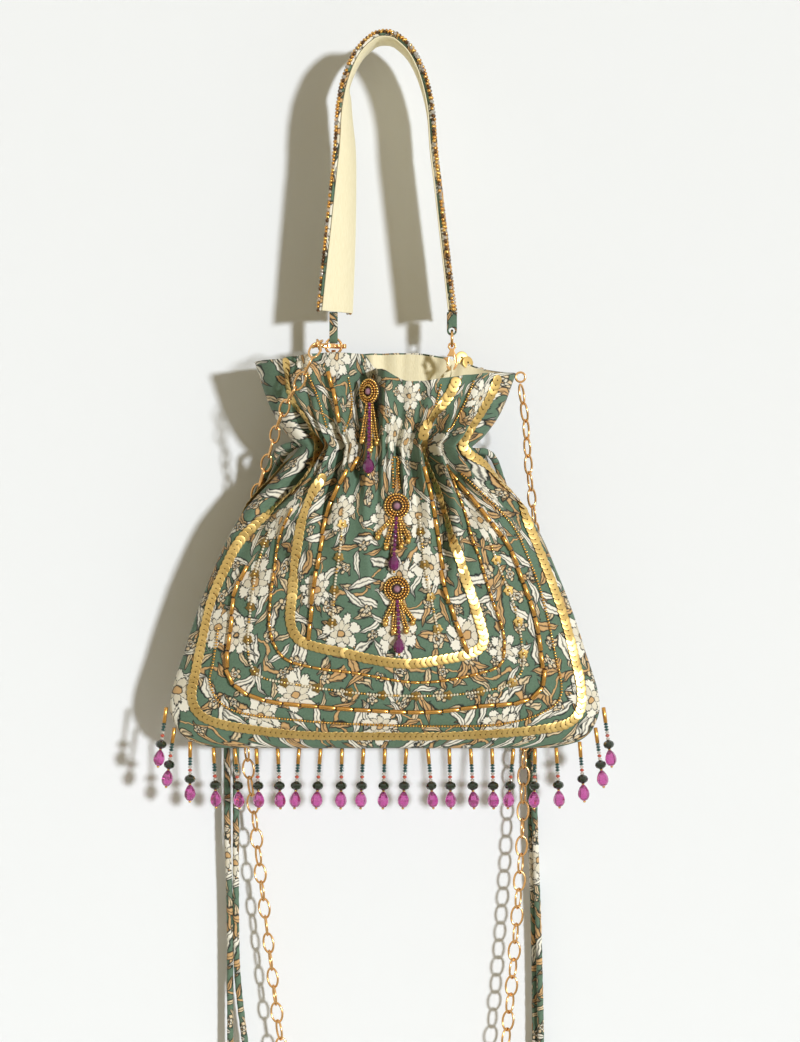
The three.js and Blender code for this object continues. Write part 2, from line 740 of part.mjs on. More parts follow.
const brooches = {
  neck: { at: [-8, 192], ends: [[-3.8, -26], [0.4, -31], [3.6, -27]], drop: [-0.5, -35.5] },
  upper: { at: [6.5, 131], ends: [[-10, -16], [-5.5, -21.5], [2.2, -21], [6, -18]], drop: [-1.5, -26] },
  lower: { at: [6.5, 87], ends: [[-6, -18], [-1.6, -22.5], [5, -22], [8.5, -17.5]], drop: [1.2, -26] },
};

// A point up one column of folds, and the furthest forward that the cloth comes over a patch
function columnAt(column, height) {
  const points = rows.map((row) => clothPoint(row, column, 0, foldDepth(row)));
  const z = Math.min(height - hemDrop, points.at(-1).z);
  const upper = points.findIndex((point) => point.z >= z);
  const [low, high] = [points[upper - 1], points[upper]];
  return low.lerp(high, (z - low.z) / (high.z - low.z));
}

function frontFace(x, low, high) {
  let front = 0;
  for (let column = columns / 2 + 1; column < columns; column++) {
    for (const share of [0, 0.25, 0.5, 0.75, 1]) {
      const point = columnAt(column, lerp(low, high, share));
      if (Math.abs(point.x - x) < broochDiameter / 2) front = Math.min(front, point.y);
    }
  }
  return front;
}

for (const [name, { at: [x, height], ends, drop }] of Object.entries(brooches)) {
  const y = frontFace(x, height - 24, height + broochDiameter / 2) - gap;
  const top = height + drop[1];
  const dropFront = frontFace(x, top - dropLength, top) - gap - dropDiameter / 2;
  const solid = brooch(ends, vec(drop[0], dropFront - y, drop[1]));
  add(`brooch_${name}`, solid, 'beads', { at: vec(x, y, height - hemDrop) });
  add(`brooch_drop_${name}`, beadDrop(), 'purple', { at: vec(x + drop[0], dropFront, top - hemDrop) });
}

// Fringe: bead strands hung at even steps along the hem, pointed at the top so that they can swing
function strand() {
  const bugle = bugleDiameter / 2;
  const seed = seedDiameter / 2;
  const rondelle = rondelleDiameter / 2;
  const drop = dropDiameter / 2;
  const seeds = -bugleLength - seedLength;
  const tip = seeds - rondelleLength;
  return turned([
    [0, 0], [bugle, -bugle], [seed, seeds], [rondelle, seeds - rondelleLength / 2],
    [seed * 0.9, tip], [drop, tip - dropLength * 0.55], [seed * 0.7, tip - dropLength - 0.4],
    [0, tip - dropLength - 0.4],
  ].reverse(), strandSides);
}

// Places along the hem's edge, from corner to corner
function hemPlaces() {
  const edge = rows.filter((row) => row.level < 0.2);
  const right = edge.map((row) => vec(row.halfWidth, 0, row.height));
  const left = right.map((point) => vec(-point.x, 0, point.z)).reverse();
  const path = new THREE.CurvePath();
  const points = [...left, ...right];
  for (let i = 0; i + 1 < points.length; i++) path.add(new THREE.LineCurve3(points[i], points[i + 1]));
  return Array.from({ length: strandCount }, (_, i) => path.getPointAt(i / (strandCount - 1)));
}

hemPlaces().forEach((place, i) => {
  const onCorner = place.z > 0.5;
  const side = Math.sign(place.x);
  const onSide = i === 0 || i === strandCount - 1;
  const outset = onCorner ? bugleDiameter / 2 + gap * (onSide ? 3 : 1) : 0;
  const at = vec(place.x + side * outset, -bagForward, place.z - hemDrop - (onCorner ? 0 : gap));
  add(`fringe_strand_${String(i + 1).padStart(2, '0')}`, strand(), 'magenta', { at });
});

export default bag;
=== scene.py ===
"""Looks of a printed potli bag with a beaded handle, drawstrings, a chain, sequin bands and a bead fringe."""
import math
import random
from collections import namedtuple

import bpy
import numpy as np
from mathutils import Matrix, Vector
from mathutils.bvhtree import BVHTree


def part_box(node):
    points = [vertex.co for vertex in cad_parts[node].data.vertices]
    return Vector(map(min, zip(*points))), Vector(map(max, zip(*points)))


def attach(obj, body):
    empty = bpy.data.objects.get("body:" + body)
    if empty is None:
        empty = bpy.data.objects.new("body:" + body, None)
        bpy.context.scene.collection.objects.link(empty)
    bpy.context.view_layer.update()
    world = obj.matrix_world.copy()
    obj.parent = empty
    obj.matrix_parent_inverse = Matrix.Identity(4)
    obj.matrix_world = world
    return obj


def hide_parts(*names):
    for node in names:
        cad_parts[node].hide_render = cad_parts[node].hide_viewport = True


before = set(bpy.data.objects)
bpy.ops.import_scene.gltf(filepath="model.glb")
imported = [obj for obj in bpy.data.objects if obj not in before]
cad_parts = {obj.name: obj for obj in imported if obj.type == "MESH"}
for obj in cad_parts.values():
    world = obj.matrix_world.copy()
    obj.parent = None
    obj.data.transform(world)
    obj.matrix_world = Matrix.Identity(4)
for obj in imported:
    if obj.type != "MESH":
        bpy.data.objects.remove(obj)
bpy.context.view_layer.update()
rng = random.Random(11)

# Sizes are in millimetres, as in the part's source, and meshes are made in metres
MM = 0.001
HEM_Z = -384
BAG_Y = -7
HEM_WIDTH = 233
NECK_WIDTH = 90
NECK_DEPTH = 52
BELLY_DEPTH = 52
RIM_WIDTH = 140
RIM_DEPTH = 60
NECK_HEIGHT = 163
RUFFLE_HEIGHT = 50
CLOTH = 1.2
SIDE_TURN = 0.38
FOLD_SPAN = 0.2
NECK_FOLD = 2.3
RIM_FOLD = 1.3
GATHER_SPAN = 0.083
GATHER = 1.3
PLEAT_SIDE = -0.1
PLEAT_DEPTH = 31
PLEAT_LEFT = 0.19
PLEAT_RIGHT = 0.05

STRAP_WIDTH = 25
STRAP_OUTER = 3.1
FACING = 0.8
ARCH_HALF_WIDTH = 24
ARCH_HEIGHT = 58
HANDLE_DROP = 147
ARM_SPREAD = 10
TWIST_LEFT = 42
TWIST_RIGHT = 3
TWIST_START = 25
HANG_FLAT = 7

CORD = 3.6
LINK_PITCH = 9.7
LINK_WIDTH = 7.5
LINK_WIRE = 1.25
SEQUIN = 5.7
SEQUIN_STEP = 2.9
SEED = 1.6
STRAP_SEED = 1.95
LEG_SEED = 1.5
BUGLE = 8.7
BUGLE_WIDTH = 2.4
SPACER = 0.9
FINE_BUGLE = 4.6
FINE_WIDTH = 1.6
FINE_SPACER = 0.8
RIM_SEQUIN = 7
STRAP_BEADS_IN = 0.9
KNOT_RADIUS = 1.5
HANDLE_RING_WIRE = 1.4
CHAIN_RING_WIRE = 1.2
RONDELLE_WIDTH = 6
RONDELLE_HEIGHT = 4.7
FRINGE_DROP_WIDTH = 6.4
FRINGE_DROP_LENGTH = 8.9
FRINGE_LEAN = 6
FRINGE_END_LEAN = 8

# Camera: the photograph's frame is 800 by 1042, and 568 mm high at the handle's plane
CAMERA_AT = (8.2, -1300, -261)
VIEW_HEIGHT = 568

# Stage and light
WALL_Y = 33
WALL_HALF = 3000
WALL_TOP = 2500
FLOOR_Z = -760
FLOOR_HALF = 4000
KEY_TOWARDS = (-0.53, 0.84, -0.08)
KEY_ENERGY = 2.75
KEY_SPREAD = 5
KEY_COLOUR = (0.93, 0.96, 1.0)
FILL_COLOUR = (1.0, 0.82, 0.47, 1.0)
FILL_STRENGTH = 0.27
MIRRORED_COLOUR = (1.0, 0.95, 0.86, 1.0)
MIRRORED_STRENGTH = 0.85

# Routes of the cords and the chain, as in the part's source
CORD_ROUTES = {
    "left_back": [(-46.2, -4.8, -218.7), (-53.5, 1.5, -223), (-59, 9.5, -231), (-65.5, 15.5, -245),
                  (-74, 22, -266), (-81.5, 24, -312), (-82.8, 24, -420), (-82.4, 24, -506), (-80.6, 24, -528),
                  (-76.5, 24, -560)],
    "left_front": [(-46.2, -9.2, -218.7), (-57, -4, -222), (-63, 4, -231), (-69.5, 10.5, -244),
                   (-79, 18, -264), (-86, 23, -310), (-87.7, 24, -420), (-86.3, 24, -480), (-86, 24, -566)],
    "right_back": [(46.2, -4.8, -223.3), (52.5, -1, -224.5), (55, 7, -229.5), (58, 15, -240),
                   (64, 21.5, -258), (72, 27.5, -290), (79, 27.9, -332), (80.8, 27.9, -420), (83, 27.9, -500),
                   (83.5, 27.9, -556)],
    "right_front": [(46.2, -9.2, -223.3), (55, -6, -223.5), (60, 2, -228), (64, 10, -238), (70, 17, -255),
                    (77, 22.5, -285), (81.5, 24, -330), (82.8, 24, -420), (85.4, 24, -500), (86.8, 24, -566)],
}
CHAIN_ROUTE = [
    (-33, -9.4, -165.8), (-35, -22, -167), (-36, -38, -168), (-38, -44, -175), (-44, -40, -186),
    (-50, -34, -195), (-55, -26, -204), (-59, -17, -214), (-63, -8, -226), (-67, -1, -237), (-71, 5, -249),
    (-74, 12, -266), (-75, 17, -304), (-76.5, 19, -348), (-76.8, 20, -385), (-72.5, 20, -424),
    (-68.7, 20, -460), (-63.8, 20, -501), (-58.5, 20, -544), (-51, 20, -590), (-38, 20, -624),
    (-19, 20, -645), (5, 20, -652), (29, 20, -645), (47, 20, -624), (60, 20, -590), (67.6, 20, -541),
    (72.8, 20, -481), (75.8, 20, -435), (76.8, 20, -396), (78, 19, -358), (79, 18, -315), (81, 16, -282),
    (82, 11, -262), (80, 6, -245), (78, 0, -228), (76.5, -4, -208), (73.5, -7, -187.6),
]

# Trim on the cloth: places across the bag and heights above the hem
BAND_OUTER = [(-52, 209), (-50, 190), (-41, 177), (-36, 164), (-39, 151), (-47, 141), (-59, 130), (-77, 114),
              (-87, 95), (-94, 77), (-98, 59), (-102, 40), (-104, 28), (-100, 19), (-89, 14), (-72, 11),
              (-44, 8), (-3, 7.5), (30, 7.5), (63, 9), (85, 11), (99, 14), (105, 20), (106, 31), (102, 50),
              (97, 69), (90, 89), (83, 107), (77, 122), (72, 134), (63, 143), (54, 153), (42, 163), (49, 178),
              (56, 189), (61, 201)]
BAND_INNER = [(-33, 147), (-38, 138), (-44, 122), (-47, 105), (-49, 86), (-50, 68), (-46, 60), (-37, 56),
              (-22, 53), (-5, 49), (14, 47), (30, 49), (45, 52), (52, 56), (53, 60), (51, 68), (47, 81),
              (42, 96), (37, 112), (33, 127), (29, 140), (24, 152), (20, 162), (24, 177), (34, 189),
              (38, 197)]
LINE_FINE = [(-49, 130), (-56, 114), (-59, 96), (-61, 79), (-61, 63), (-54, 50), (-39, 45), (-16, 42),
             (15, 37), (33, 38), (52, 42), (62, 46), (64, 55), (63, 65), (58, 79), (53, 95), (47, 114),
             (39, 136), (33, 152)]
LINE_PEARL = [(-61, 119), (-68, 99), (-71, 80), (-73, 62), (-72, 47), (-67, 40), (-50, 36), (-30, 33),
              (0, 30), (35, 30), (52, 32), (68, 36), (74, 44), (73, 60), (70, 75), (64, 91), (55, 114)]
LINE_BUGLE = [(-73, 99), (-80, 85), (-82, 68), (-84, 52), (-84, 41), (-78, 33), (-64, 27), (-38, 24),
              (-11, 22), (25, 21), (52, 24), (76, 27), (85, 35), (84, 49), (82, 64), (78, 79), (73, 92),
              (67, 108), (56, 123), (45, 138), (34, 150)]
LINE_SEED = [(-89, 66), (-92, 47), (-94, 36), (-89, 26), (-81, 21), (-44, 16), (-11, 14), (36, 13),
             (63, 14), (85, 20), (94, 27), (95, 35), (92, 49), (88, 68), (83, 87), (76, 105), (69, 119),
             (57, 133), (41, 149)]
LEGS_BUGLE = [[(-15, 157), (-24, 141), (-31, 123), (-35, 103), (-38, 84), (-40, 64)],
              [(20, 152), (25, 130), (29, 105), (34, 81), (43, 56)],
              [(-30, 203), (-26, 187), (-24, 171)]]
LEGS_PEARL = [[(-22, 130), (-24, 105), (-26, 91), (-28, 65)],
              [(19, 126), (21, 103), (24, 84), (29, 62)]]
LEGS_SEED = [[(-42, 205), (-36, 190), (-31, 172)], [(-20, 200), (-18, 185), (-21, 170)],
             [(48, 198), (42, 184), (33, 170)], [(30, 196), (26, 182), (22, 170)]]

# Brooches: medallion place, ends of the bead fan, the drop's top below it and the medallion's turn in degrees
BROOCHES = {
    "neck": ((-8, 192), [(-3.8, -26), (0.4, -31), (3.6, -27)], (-0.5, -35.5), 42),
    "upper": ((6.5, 131), [(-10, -16), (-5.5, -21.5), (2.2, -21), (6, -18)], (-1.5, -26), 0),
    "lower": ((6.5, 87), [(-6, -18), (-1.6, -22.5), (5, -22), (8.5, -17.5)], (1.2, -26), 0),
}
MEDALLION = 14
DROP_LENGTH = 9.6
DROP_WIDTH = 6.4
BUTTON_LOOP = ((6, 149), 18, 5)

AXES = (np.array([1, 0, 0]), np.array([0, 1, 0]), np.array([0, 0, 1]))


# Numbers and curves

def srgb(r, g, b):
    """A linear colour with alpha from 0 to 255 values."""
    def linear(c):
        c = c / 255
        return c / 12.92 if c <= 0.04045 else ((c + 0.055) / 1.055) ** 2.4
    return linear(r), linear(g), linear(b), 1.0


def smooth(x, low, high):
    t = np.clip((np.asarray(x, float) - low) / (high - low), 0, 1)
    return t * t * (3 - 2 * t)


def eased(x, places, values):
    """Values between places on a curve that doesn't overshoot them."""
    places, values = np.asarray(places, float), np.asarray(values, float)
    step = np.diff(places)
    slope = np.diff(values) / step
    tangent = np.zeros(len(values))
    same = slope[:-1] * slope[1:] > 0
    mean = 2 * slope[:-1] * slope[1:] / np.where(same, slope[:-1] + slope[1:], 1)
    tangent[1:-1] = np.where(same, mean, 0)
    tangent[0], tangent[-1] = slope[0], slope[-1]
    x = np.clip(np.asarray(x, float), places[0], places[-1])
    i = np.clip(np.searchsorted(places, x, side="right") - 1, 0, len(step) - 1)
    t = (x - places[i]) / step[i]
    a, b = values[i], values[i + 1]
    ma, mb = tangent[i] * step[i], tangent[i + 1] * step[i]
    return a + t * (ma + t * (3 * (b - a) - 2 * ma - mb + t * (2 * (a - b) + ma + mb)))


def spline(points, step):
    """Points at even steps along a smooth curve through the given ones."""
    p = np.asarray(points, float)
    p = np.vstack([2 * p[0] - p[1], p, 2 * p[-1] - p[-2]])
    fine = []
    for a, b, c, d in zip(p, p[1:], p[2:], p[3:]):
        t0, t1, t2 = (math.sqrt(np.linalg.norm(q)) for q in (b - a, c - b, d - c))
        m1 = ((b - a) / t0 - (c - a) / (t0 + t1) + (c - b) / t1) * t1
        m2 = ((c - b) / t1 - (d - b) / (t1 + t2) + (d - c) / t2) * t1
        t = np.linspace(0, 1, 24, endpoint=False)[:, None]
        fine.append(b + t * (m1 + t * (3 * (c - b) - 2 * m1 - m2 + t * (2 * (b - c) + m1 + m2))))
    return resample(np.vstack([*fine, p[-2:-1]]), step)


def distance_along(points):
    """How far each point lies along a line of points."""
    return np.concatenate([[0], np.cumsum(np.linalg.norm(np.diff(points, axis=0), axis=1))])


def resample(points, step):
    along = distance_along(points)
    count = max(2, round(along[-1] / step) + 1)
    at = np.linspace(0, along[-1], count)
    return np.stack([np.interp(at, along, points[:, k]) for k in range(points.shape[1])], axis=1)


def unit(v):
    return v / np.maximum(np.linalg.norm(v, axis=-1, keepdims=True), 1e-9)


def sweep_frames(points, start=(0.3, 1, 0.2)):
    """Along, normal and side directions that turn as little as possible."""
    along = unit(np.gradient(points, axis=0))
    normals = []
    normal = np.array(start, float)
    for a in along:
        normal = unit(normal - a * (normal @ a))
        normals.append(normal)
    normals = np.array(normals)
    return along, normals, np.cross(along, normals)


# Meshes

Shape = namedtuple("Shape", "points faces smooth")


def lathe(profile, sides, smooth_faces=True):
    """A turned shape about Z from (radius, height) points; ends at radius 0 close to a point."""
    points, rings = [], []
    for radius, height in profile:
        if radius == 0:
            rings.append([len(points)] * sides)
            points.append((0, 0, height))
        else:
            rings.append(list(range(len(points), len(points) + sides)))
            for k in range(sides):
                angle = 2 * math.pi * k / sides
                points.append((radius * math.cos(angle), radius * math.sin(angle), height))
    faces = []
    for low, high in zip(rings, rings[1:]):
        for k in range(sides):
            n = (k + 1) % sides
            face = list(dict.fromkeys((low[k], low[n], high[n], high[k])))
            if len(face) > 2:
                faces.append(tuple(face))
    return Shape(np.array(points, float), faces, smooth_faces)


def ball(sides=8, rings=5):
    angles = [math.pi * i / rings for i in range(1, rings)]
    profile = [(0.5 * math.sin(angle), -0.5 * math.cos(angle)) for angle in angles]
    return lathe([(0, -0.5), *profile, (0, 0.5)], sides)


def wire_loop(wide, tall, wire, steps, sides):
    """A closed round wire in the XZ plane, from the half width and half height of its middle line."""
    points, faces = [], []
    for i in range(steps):
        angle = 2 * math.pi * i / steps
        centre = np.array([wide * math.sin(angle), 0, tall * math.cos(angle)])
        out = unit(np.array([math.sin(angle) / wide, 0, math.cos(angle) / tall]))
        for k in range(sides):
            turn = 2 * math.pi * k / sides
            points.append(centre + wire / 2 * (out * math.cos(turn) + np.array([0, math.sin(turn), 0])))
            j, n = (i + 1) % steps, (k + 1) % sides
            faces.append((i * sides + k, j * sides + k, j * sides + n, i * sides + n))
    return Shape(np.array(points), faces, True)


class Batch:
    """Many small shapes gathered into one mesh, each with its own material."""

    def __init__(self, *materials):
        self.materials = list(materials)
        self.points, self.faces, self.slots, self.smooth = [], [], [], []
        self.count = 0

    def add(self, shape, place, material, size=(1, 1, 1)):
        axes = np.array(place[1:], float)
        points = (shape.points * np.array(size, float)) @ axes + np.array(place[0], float)
        self.points.append(points)
        slot = self.materials.index(material)
        for face in shape.faces:
            self.faces.append(tuple(i + self.count for i in face))
            self.slots.append(slot)
            self.smooth.append(shape.smooth)
        self.count += len(points)

    def build(self, name, body):
        return new_piece(name, np.vstack(self.points), self.faces, self.materials, body,
                         slots=self.slots, smooth_faces=self.smooth)


def new_piece(name, points, faces, materials, body, uvs=None, slots=None, smooth_faces=True):
    """A mesh piece in the row frame that rides on a body."""
    mesh = bpy.data.meshes.new(name)
    mesh.from_pydata((np.asarray(points) * MM).tolist(), [], faces)
    for material in materials:
        mesh.materials.append(material)
    flags = smooth_faces if isinstance(smooth_faces, list) else [smooth_faces] * len(faces)
    mesh.polygons.foreach_set("use_smooth", flags)
    if slots is not None:
        mesh.polygons.foreach_set("material_index", slots)
    if uvs is not None:
        layer = mesh.uv_layers.new(name="cloth")
        layer.data.foreach_set("uv", (np.asarray(uvs) * MM).ravel())
    mesh.validate()
    obj = bpy.data.objects.new(name, mesh)
    bpy.context.collection.objects.link(obj)
    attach(obj, body)
    return obj


def grid_faces(rows, columns):
    """Faces between rows of points that close round."""
    faces = []
    for r in range(rows - 1):
        for c in range(columns):
            n = (c + 1) % columns
            faces.append((r * columns + c, r * columns + n, (r + 1) * columns + n, (r + 1) * columns + c))
    return faces


def grid_uvs(uv_grid):
    """Cloth coordinates of those faces, from one more column than the points have."""
    uvs = []
    for low, high in zip(uv_grid, uv_grid[1:]):
        for c in range(len(low) - 1):
            uvs += [low[c], low[c + 1], high[c + 1], high[c]]
    return uvs


def grid_piece(name, grid, uv_grid, material, body):
    faces = grid_faces(*grid.shape[:2])
    uvs = np.array(grid_uvs(uv_grid))
    return new_piece(name, grid.reshape(-1, 3), faces, [material], body, uvs=uvs)


def tube_piece(name, points, radius, material, body, sides=10):
    """A round cord along points, with its length and girth as its cloth coordinates."""
    along, normal, side = sweep_frames(points)
    turn = np.linspace(0, 2 * math.pi, sides, endpoint=False)
    ring = np.cos(turn)[None, :, None] * normal[:, None] + np.sin(turn)[None, :, None] * side[:, None]
    radius = np.broadcast_to(radius, (len(points),))[:, None, None]
    grid = points[:, None] + ring * radius
    length = distance_along(points)
    girth = np.linspace(0, 2 * math.pi * float(radius.mean()), sides + 1)
    uv = np.stack(np.broadcast_arrays(girth[None, :], length[:, None]), axis=-1)
    rows = len(points)
    faces = grid_faces(rows, sides)
    uvs = grid_uvs(uv)
    for row, order in ((0, range(sides - 1, -1, -1)), (rows - 1, range(sides))):
        faces.append(tuple(row * sides + k for k in order))
        uvs += [uv[row, k] for k in order]
    return new_piece(name, grid.reshape(-1, 3), faces, [material], body, uvs=np.array(uvs))


# Materials

class Nodes:
    """A short way to write shader nodes."""

    def __init__(self, name):
        self.material = bpy.data.materials.new(name)
        self.material.use_nodes = True
        self.tree = self.material.node_tree
        self.shader = self.tree.nodes["Principled BSDF"]

    def node(self, kind, inputs=None, **settings):
        made = self.tree.nodes.new(kind)
        for key, value in settings.items():
            setattr(made, key, value)
        for key, value in (inputs or {}).items():
            self.put(made.inputs[key], value)
        return made

    def put(self, socket, value):
        if isinstance(value, bpy.types.NodeSocket):
            self.tree.links.new(value, socket)
        else:
            socket.default_value = value

    def math(self, operation, a, b=0.0):
        return self.node("ShaderNodeMath", {0: a, 1: b}, operation=operation).outputs[0]

    def vector(self, operation, a, b=(0, 0, 0)):
        return self.node("ShaderNodeVectorMath", {0: a, 1: b}, operation=operation)

    def step(self, value, edge, soft):
        """1 below the edge and 0 above it."""
        span = {"From Min": edge - soft, "From Max": edge + soft, "To Min": 1.0, "To Max": 0.0}
        return self.node("ShaderNodeMapRange", {"Value": value, **span}).outputs[0]

    def mix(self, share, a, b):
        made = self.node("ShaderNodeMix", data_type="RGBA")
        self.put(made.inputs[0], share)
        self.put(made.inputs[6], a)
        self.put(made.inputs[7], b)
        return made.outputs[2]

    def noise(self, coords, scale, detail=2.0):
        made = self.node("ShaderNodeTexNoise", {"Vector": coords, "Scale": scale, "Detail": detail})
        return made.outputs["Fac"]

    def bump(self, height, strength, distance):
        made = self.node("ShaderNodeBump", {"Height": height, "Strength": strength, "Distance": distance})
        self.put(self.shader.inputs["Normal"], made.outputs[0])

    def set(self, **values):
        for key, value in values.items():
            self.put(self.shader.inputs[key.replace("_", " ")], value)
        return self.material


GROUND = srgb(104, 131, 108)
GROUND_DARK = srgb(76, 102, 82)
PETAL = srgb(238, 234, 218)
PETAL_SHADE = srgb(222, 214, 192)
STEM = srgb(206, 166, 112)
STEM_PALE = srgb(226, 204, 164)
OUTLINE = srgb(22, 28, 26)


def centred(nodes, coords, scale, shift, randomness):
    """Offset from the nearest of scattered points, and three random numbers of that point's own."""
    moved = nodes.vector("ADD", coords, shift).outputs[0]
    cell = nodes.node("ShaderNodeTexVoronoi", {"Vector": moved, "Scale": scale, "Randomness": randomness},
                      voronoi_dimensions="2D")
    offset = nodes.vector("SUBTRACT", moved, cell.outputs["Position"]).outputs[0]
    chance = nodes.node("ShaderNodeSeparateColor", {0: cell.outputs["Color"]})
    return offset, chance.outputs


def turned(nodes, offset, angle):
    rotated = nodes.node("ShaderNodeVectorRotate", {"Vector": offset, "Angle": angle}, rotation_type="Z_AXIS")
    return nodes.node("ShaderNodeSeparateXYZ", {0: rotated.outputs[0]}).outputs


def leaf_layer(nodes, colour, coords, scale, shift, size, line, tint):
    """Scattered pointed leaves with an outline and a midrib."""
    offset, chance = centred(nodes, coords, scale, shift, 0.8)
    x, y, _ = turned(nodes, offset, nodes.math("MULTIPLY", chance[0], 6.283))
    length, width = size
    along = nodes.math("DIVIDE", x, length)
    bulge = nodes.math("SUBTRACT", 1.0, nodes.math("MULTIPLY", along, along))
    bend = nodes.math("MULTIPLY", nodes.math("MULTIPLY", along, along), width * 0.9)
    across = nodes.math("ABSOLUTE", nodes.math("SUBTRACT", y, bend))
    edge = nodes.math("SUBTRACT", across, nodes.math("MULTIPLY", bulge, width))
    fill = nodes.mix(nodes.math("GREATER_THAN", chance[1], 0.7), tint, STEM)
    rib = nodes.step(across, line * 0.45, line * 0.25)
    colour = nodes.mix(nodes.step(edge, line * 0.5, line * 0.35), colour, OUTLINE)
    inside = nodes.step(edge, -line * 0.5, line * 0.35)
    colour = nodes.mix(inside, colour, fill)
    return nodes.mix(nodes.math("MULTIPLY", inside, nodes.math("MULTIPLY", rib, 0.8)), colour, OUTLINE)


def flower_layer(nodes, colour, coords, scale, shift, radius, petals, line, tint, heart):
    """Scattered open flowers: two rounds of petals with outlines and a round heart."""
    offset, chance = centred(nodes, coords, scale, shift, 0.7)
    x, y, _ = turned(nodes, offset, nodes.math("MULTIPLY", chance[0], 6.283))
    angle = nodes.math("ARCTAN2", y, x)
    far = nodes.vector("LENGTH", offset).outputs["Value"]
    shown = nodes.math("GREATER_THAN", chance[1], 0.2)
    grown = nodes.math("MULTIPLY", nodes.math("ADD", nodes.math("MULTIPLY", chance[2], 0.35), 0.75), radius)
    size = nodes.math("SUBTRACT", nodes.math("MULTIPLY", nodes.math("ADD", grown, 0.01), shown), 0.01)
    for share, turn in ((1.0, 0.0), (0.62, 0.5)):
        swing = nodes.math("ADD", nodes.math("MULTIPLY", angle, petals / 2), turn * math.pi)
        lobe = nodes.math("ABSOLUTE", nodes.math("COSINE", swing))
        point = nodes.math("POWER", lobe, 0.7)
        notch = nodes.math("ABSOLUTE", nodes.math("SINE", nodes.math("MULTIPLY", swing, 6.0)))
        lobed = nodes.math("ADD", nodes.math("MULTIPLY", point, 0.46), nodes.math("MULTIPLY", notch, 0.09))
        reach = nodes.math("MULTIPLY", nodes.math("ADD", lobed, 0.45), size)
        edge = nodes.math("SUBTRACT", far, nodes.math("MULTIPLY", reach, share))
        colour = nodes.mix(nodes.step(edge, line * 0.5, line * 0.35), colour, OUTLINE)
        inside = nodes.step(edge, -line * 0.5, line * 0.35)
        colour = nodes.mix(inside, colour, tint if share == 1 else PETAL_SHADE)
        vein = nodes.step(nodes.math("MULTIPLY", lobe, far), line * 0.6, line * 0.3)
        veined = nodes.math("MULTIPLY", inside, vein)
        colour = nodes.mix(nodes.math("MULTIPLY", veined, 0.85), colour, OUTLINE)
    core = nodes.math("SUBTRACT", far, nodes.math("MULTIPLY", size, 0.2))
    colour = nodes.mix(nodes.step(core, line * 0.4, line * 0.3), colour, OUTLINE)
    return nodes.mix(nodes.step(core, -line * 0.4, line * 0.3), colour, heart)


def stem_layer(nodes, colour, coords, scale, width):
    """Winding stems along the contours of a soft noise."""
    level = nodes.noise(coords, scale, 1.0)
    off = nodes.math("ABSOLUTE", nodes.math("SUBTRACT", level, 0.5))
    colour = nodes.mix(nodes.step(off, width * 1.7, width * 0.4), colour, OUTLINE)
    return nodes.mix(nodes.step(off, width, width * 0.4), colour, STEM)


def print_material(name, shift=0.0, by_place=False):
    """Printed cloth: pale flowers, leaves and tan stems with dark outlines on sage green."""
    nodes = Nodes(name)
    if by_place:
        place = nodes.node("ShaderNodeTexCoord").outputs["Object"]
        rotation = (math.radians(-90), 0, math.radians(30))
        base = nodes.node("ShaderNodeMapping", {"Vector": place, "Rotation": rotation}).outputs[0]
    else:
        base = nodes.node("ShaderNodeUVMap", uv_map="cloth").outputs[0]
    coords = nodes.vector("ADD", base, (shift, shift * 0.7, 0)).outputs[0]
    wobble = nodes.node("ShaderNodeTexNoise", {"Vector": coords, "Scale": 95.0, "Detail": 3.0})
    ripple = nodes.vector("SUBTRACT", wobble.outputs["Color"], (0.5, 0.5, 0.5)).outputs[0]
    scaled = nodes.node("ShaderNodeVectorMath", {0: ripple, 3: 0.0085}, operation="SCALE").outputs[0]
    drawn = nodes.vector("ADD", coords, scaled).outputs[0]
    mottle = nodes.noise(coords, 900.0, 3.0)
    colour = nodes.mix(mottle, GROUND_DARK, GROUND)
    line = 0.00072
    colour = stem_layer(nodes, colour, drawn, 24.0, 0.007)
    colour = leaf_layer(nodes, colour, drawn, 78.0, (0.77, 0.43, 0), (0.0060, 0.0016), line, STEM_PALE)
    colour = leaf_layer(nodes, colour, drawn, 50.0, (0.31, 0.17, 0), (0.0098, 0.0024), line, PETAL)
    colour = leaf_layer(nodes, colour, drawn, 58.0, (0.05, 0.66, 0), (0.0086, 0.0019), line, PETAL)
    colour = flower_layer(nodes, colour, drawn, 56.0, (0.13, 0.91, 0), 0.0040, 5, line, STEM_PALE, STEM)
    colour = flower_layer(nodes, colour, drawn, 27.0, (0.59, 0.29, 0), 0.0125, 7, line, PETAL, STEM)
    weave = nodes.noise(coords, 2600.0, 1.0)
    crease = nodes.noise(coords, 190.0, 3.0)
    nodes.bump(nodes.math("ADD", nodes.math("MULTIPLY", weave, 0.25), crease), 0.35, 0.0009)
    return nodes.set(Base_Color=colour, Roughness=0.82, Sheen_Weight=0.12, Sheen_Roughness=0.5)


def cream_material():
    nodes = Nodes("cream_lining")
    coords = nodes.node("ShaderNodeTexCoord").outputs["Object"]
    slub = nodes.node("ShaderNodeMapping", {"Vector": coords, "Scale": (1600, 1600, 240)}).outputs[0]
    weave = nodes.noise(slub, 1.0, 2.0)
    colour = nodes.mix(weave, srgb(232, 220, 180), srgb(250, 243, 212))
    nodes.bump(weave, 0.3, 0.0005)
    return nodes.set(Base_Color=colour, Roughness=0.88, Sheen_Weight=0.1)


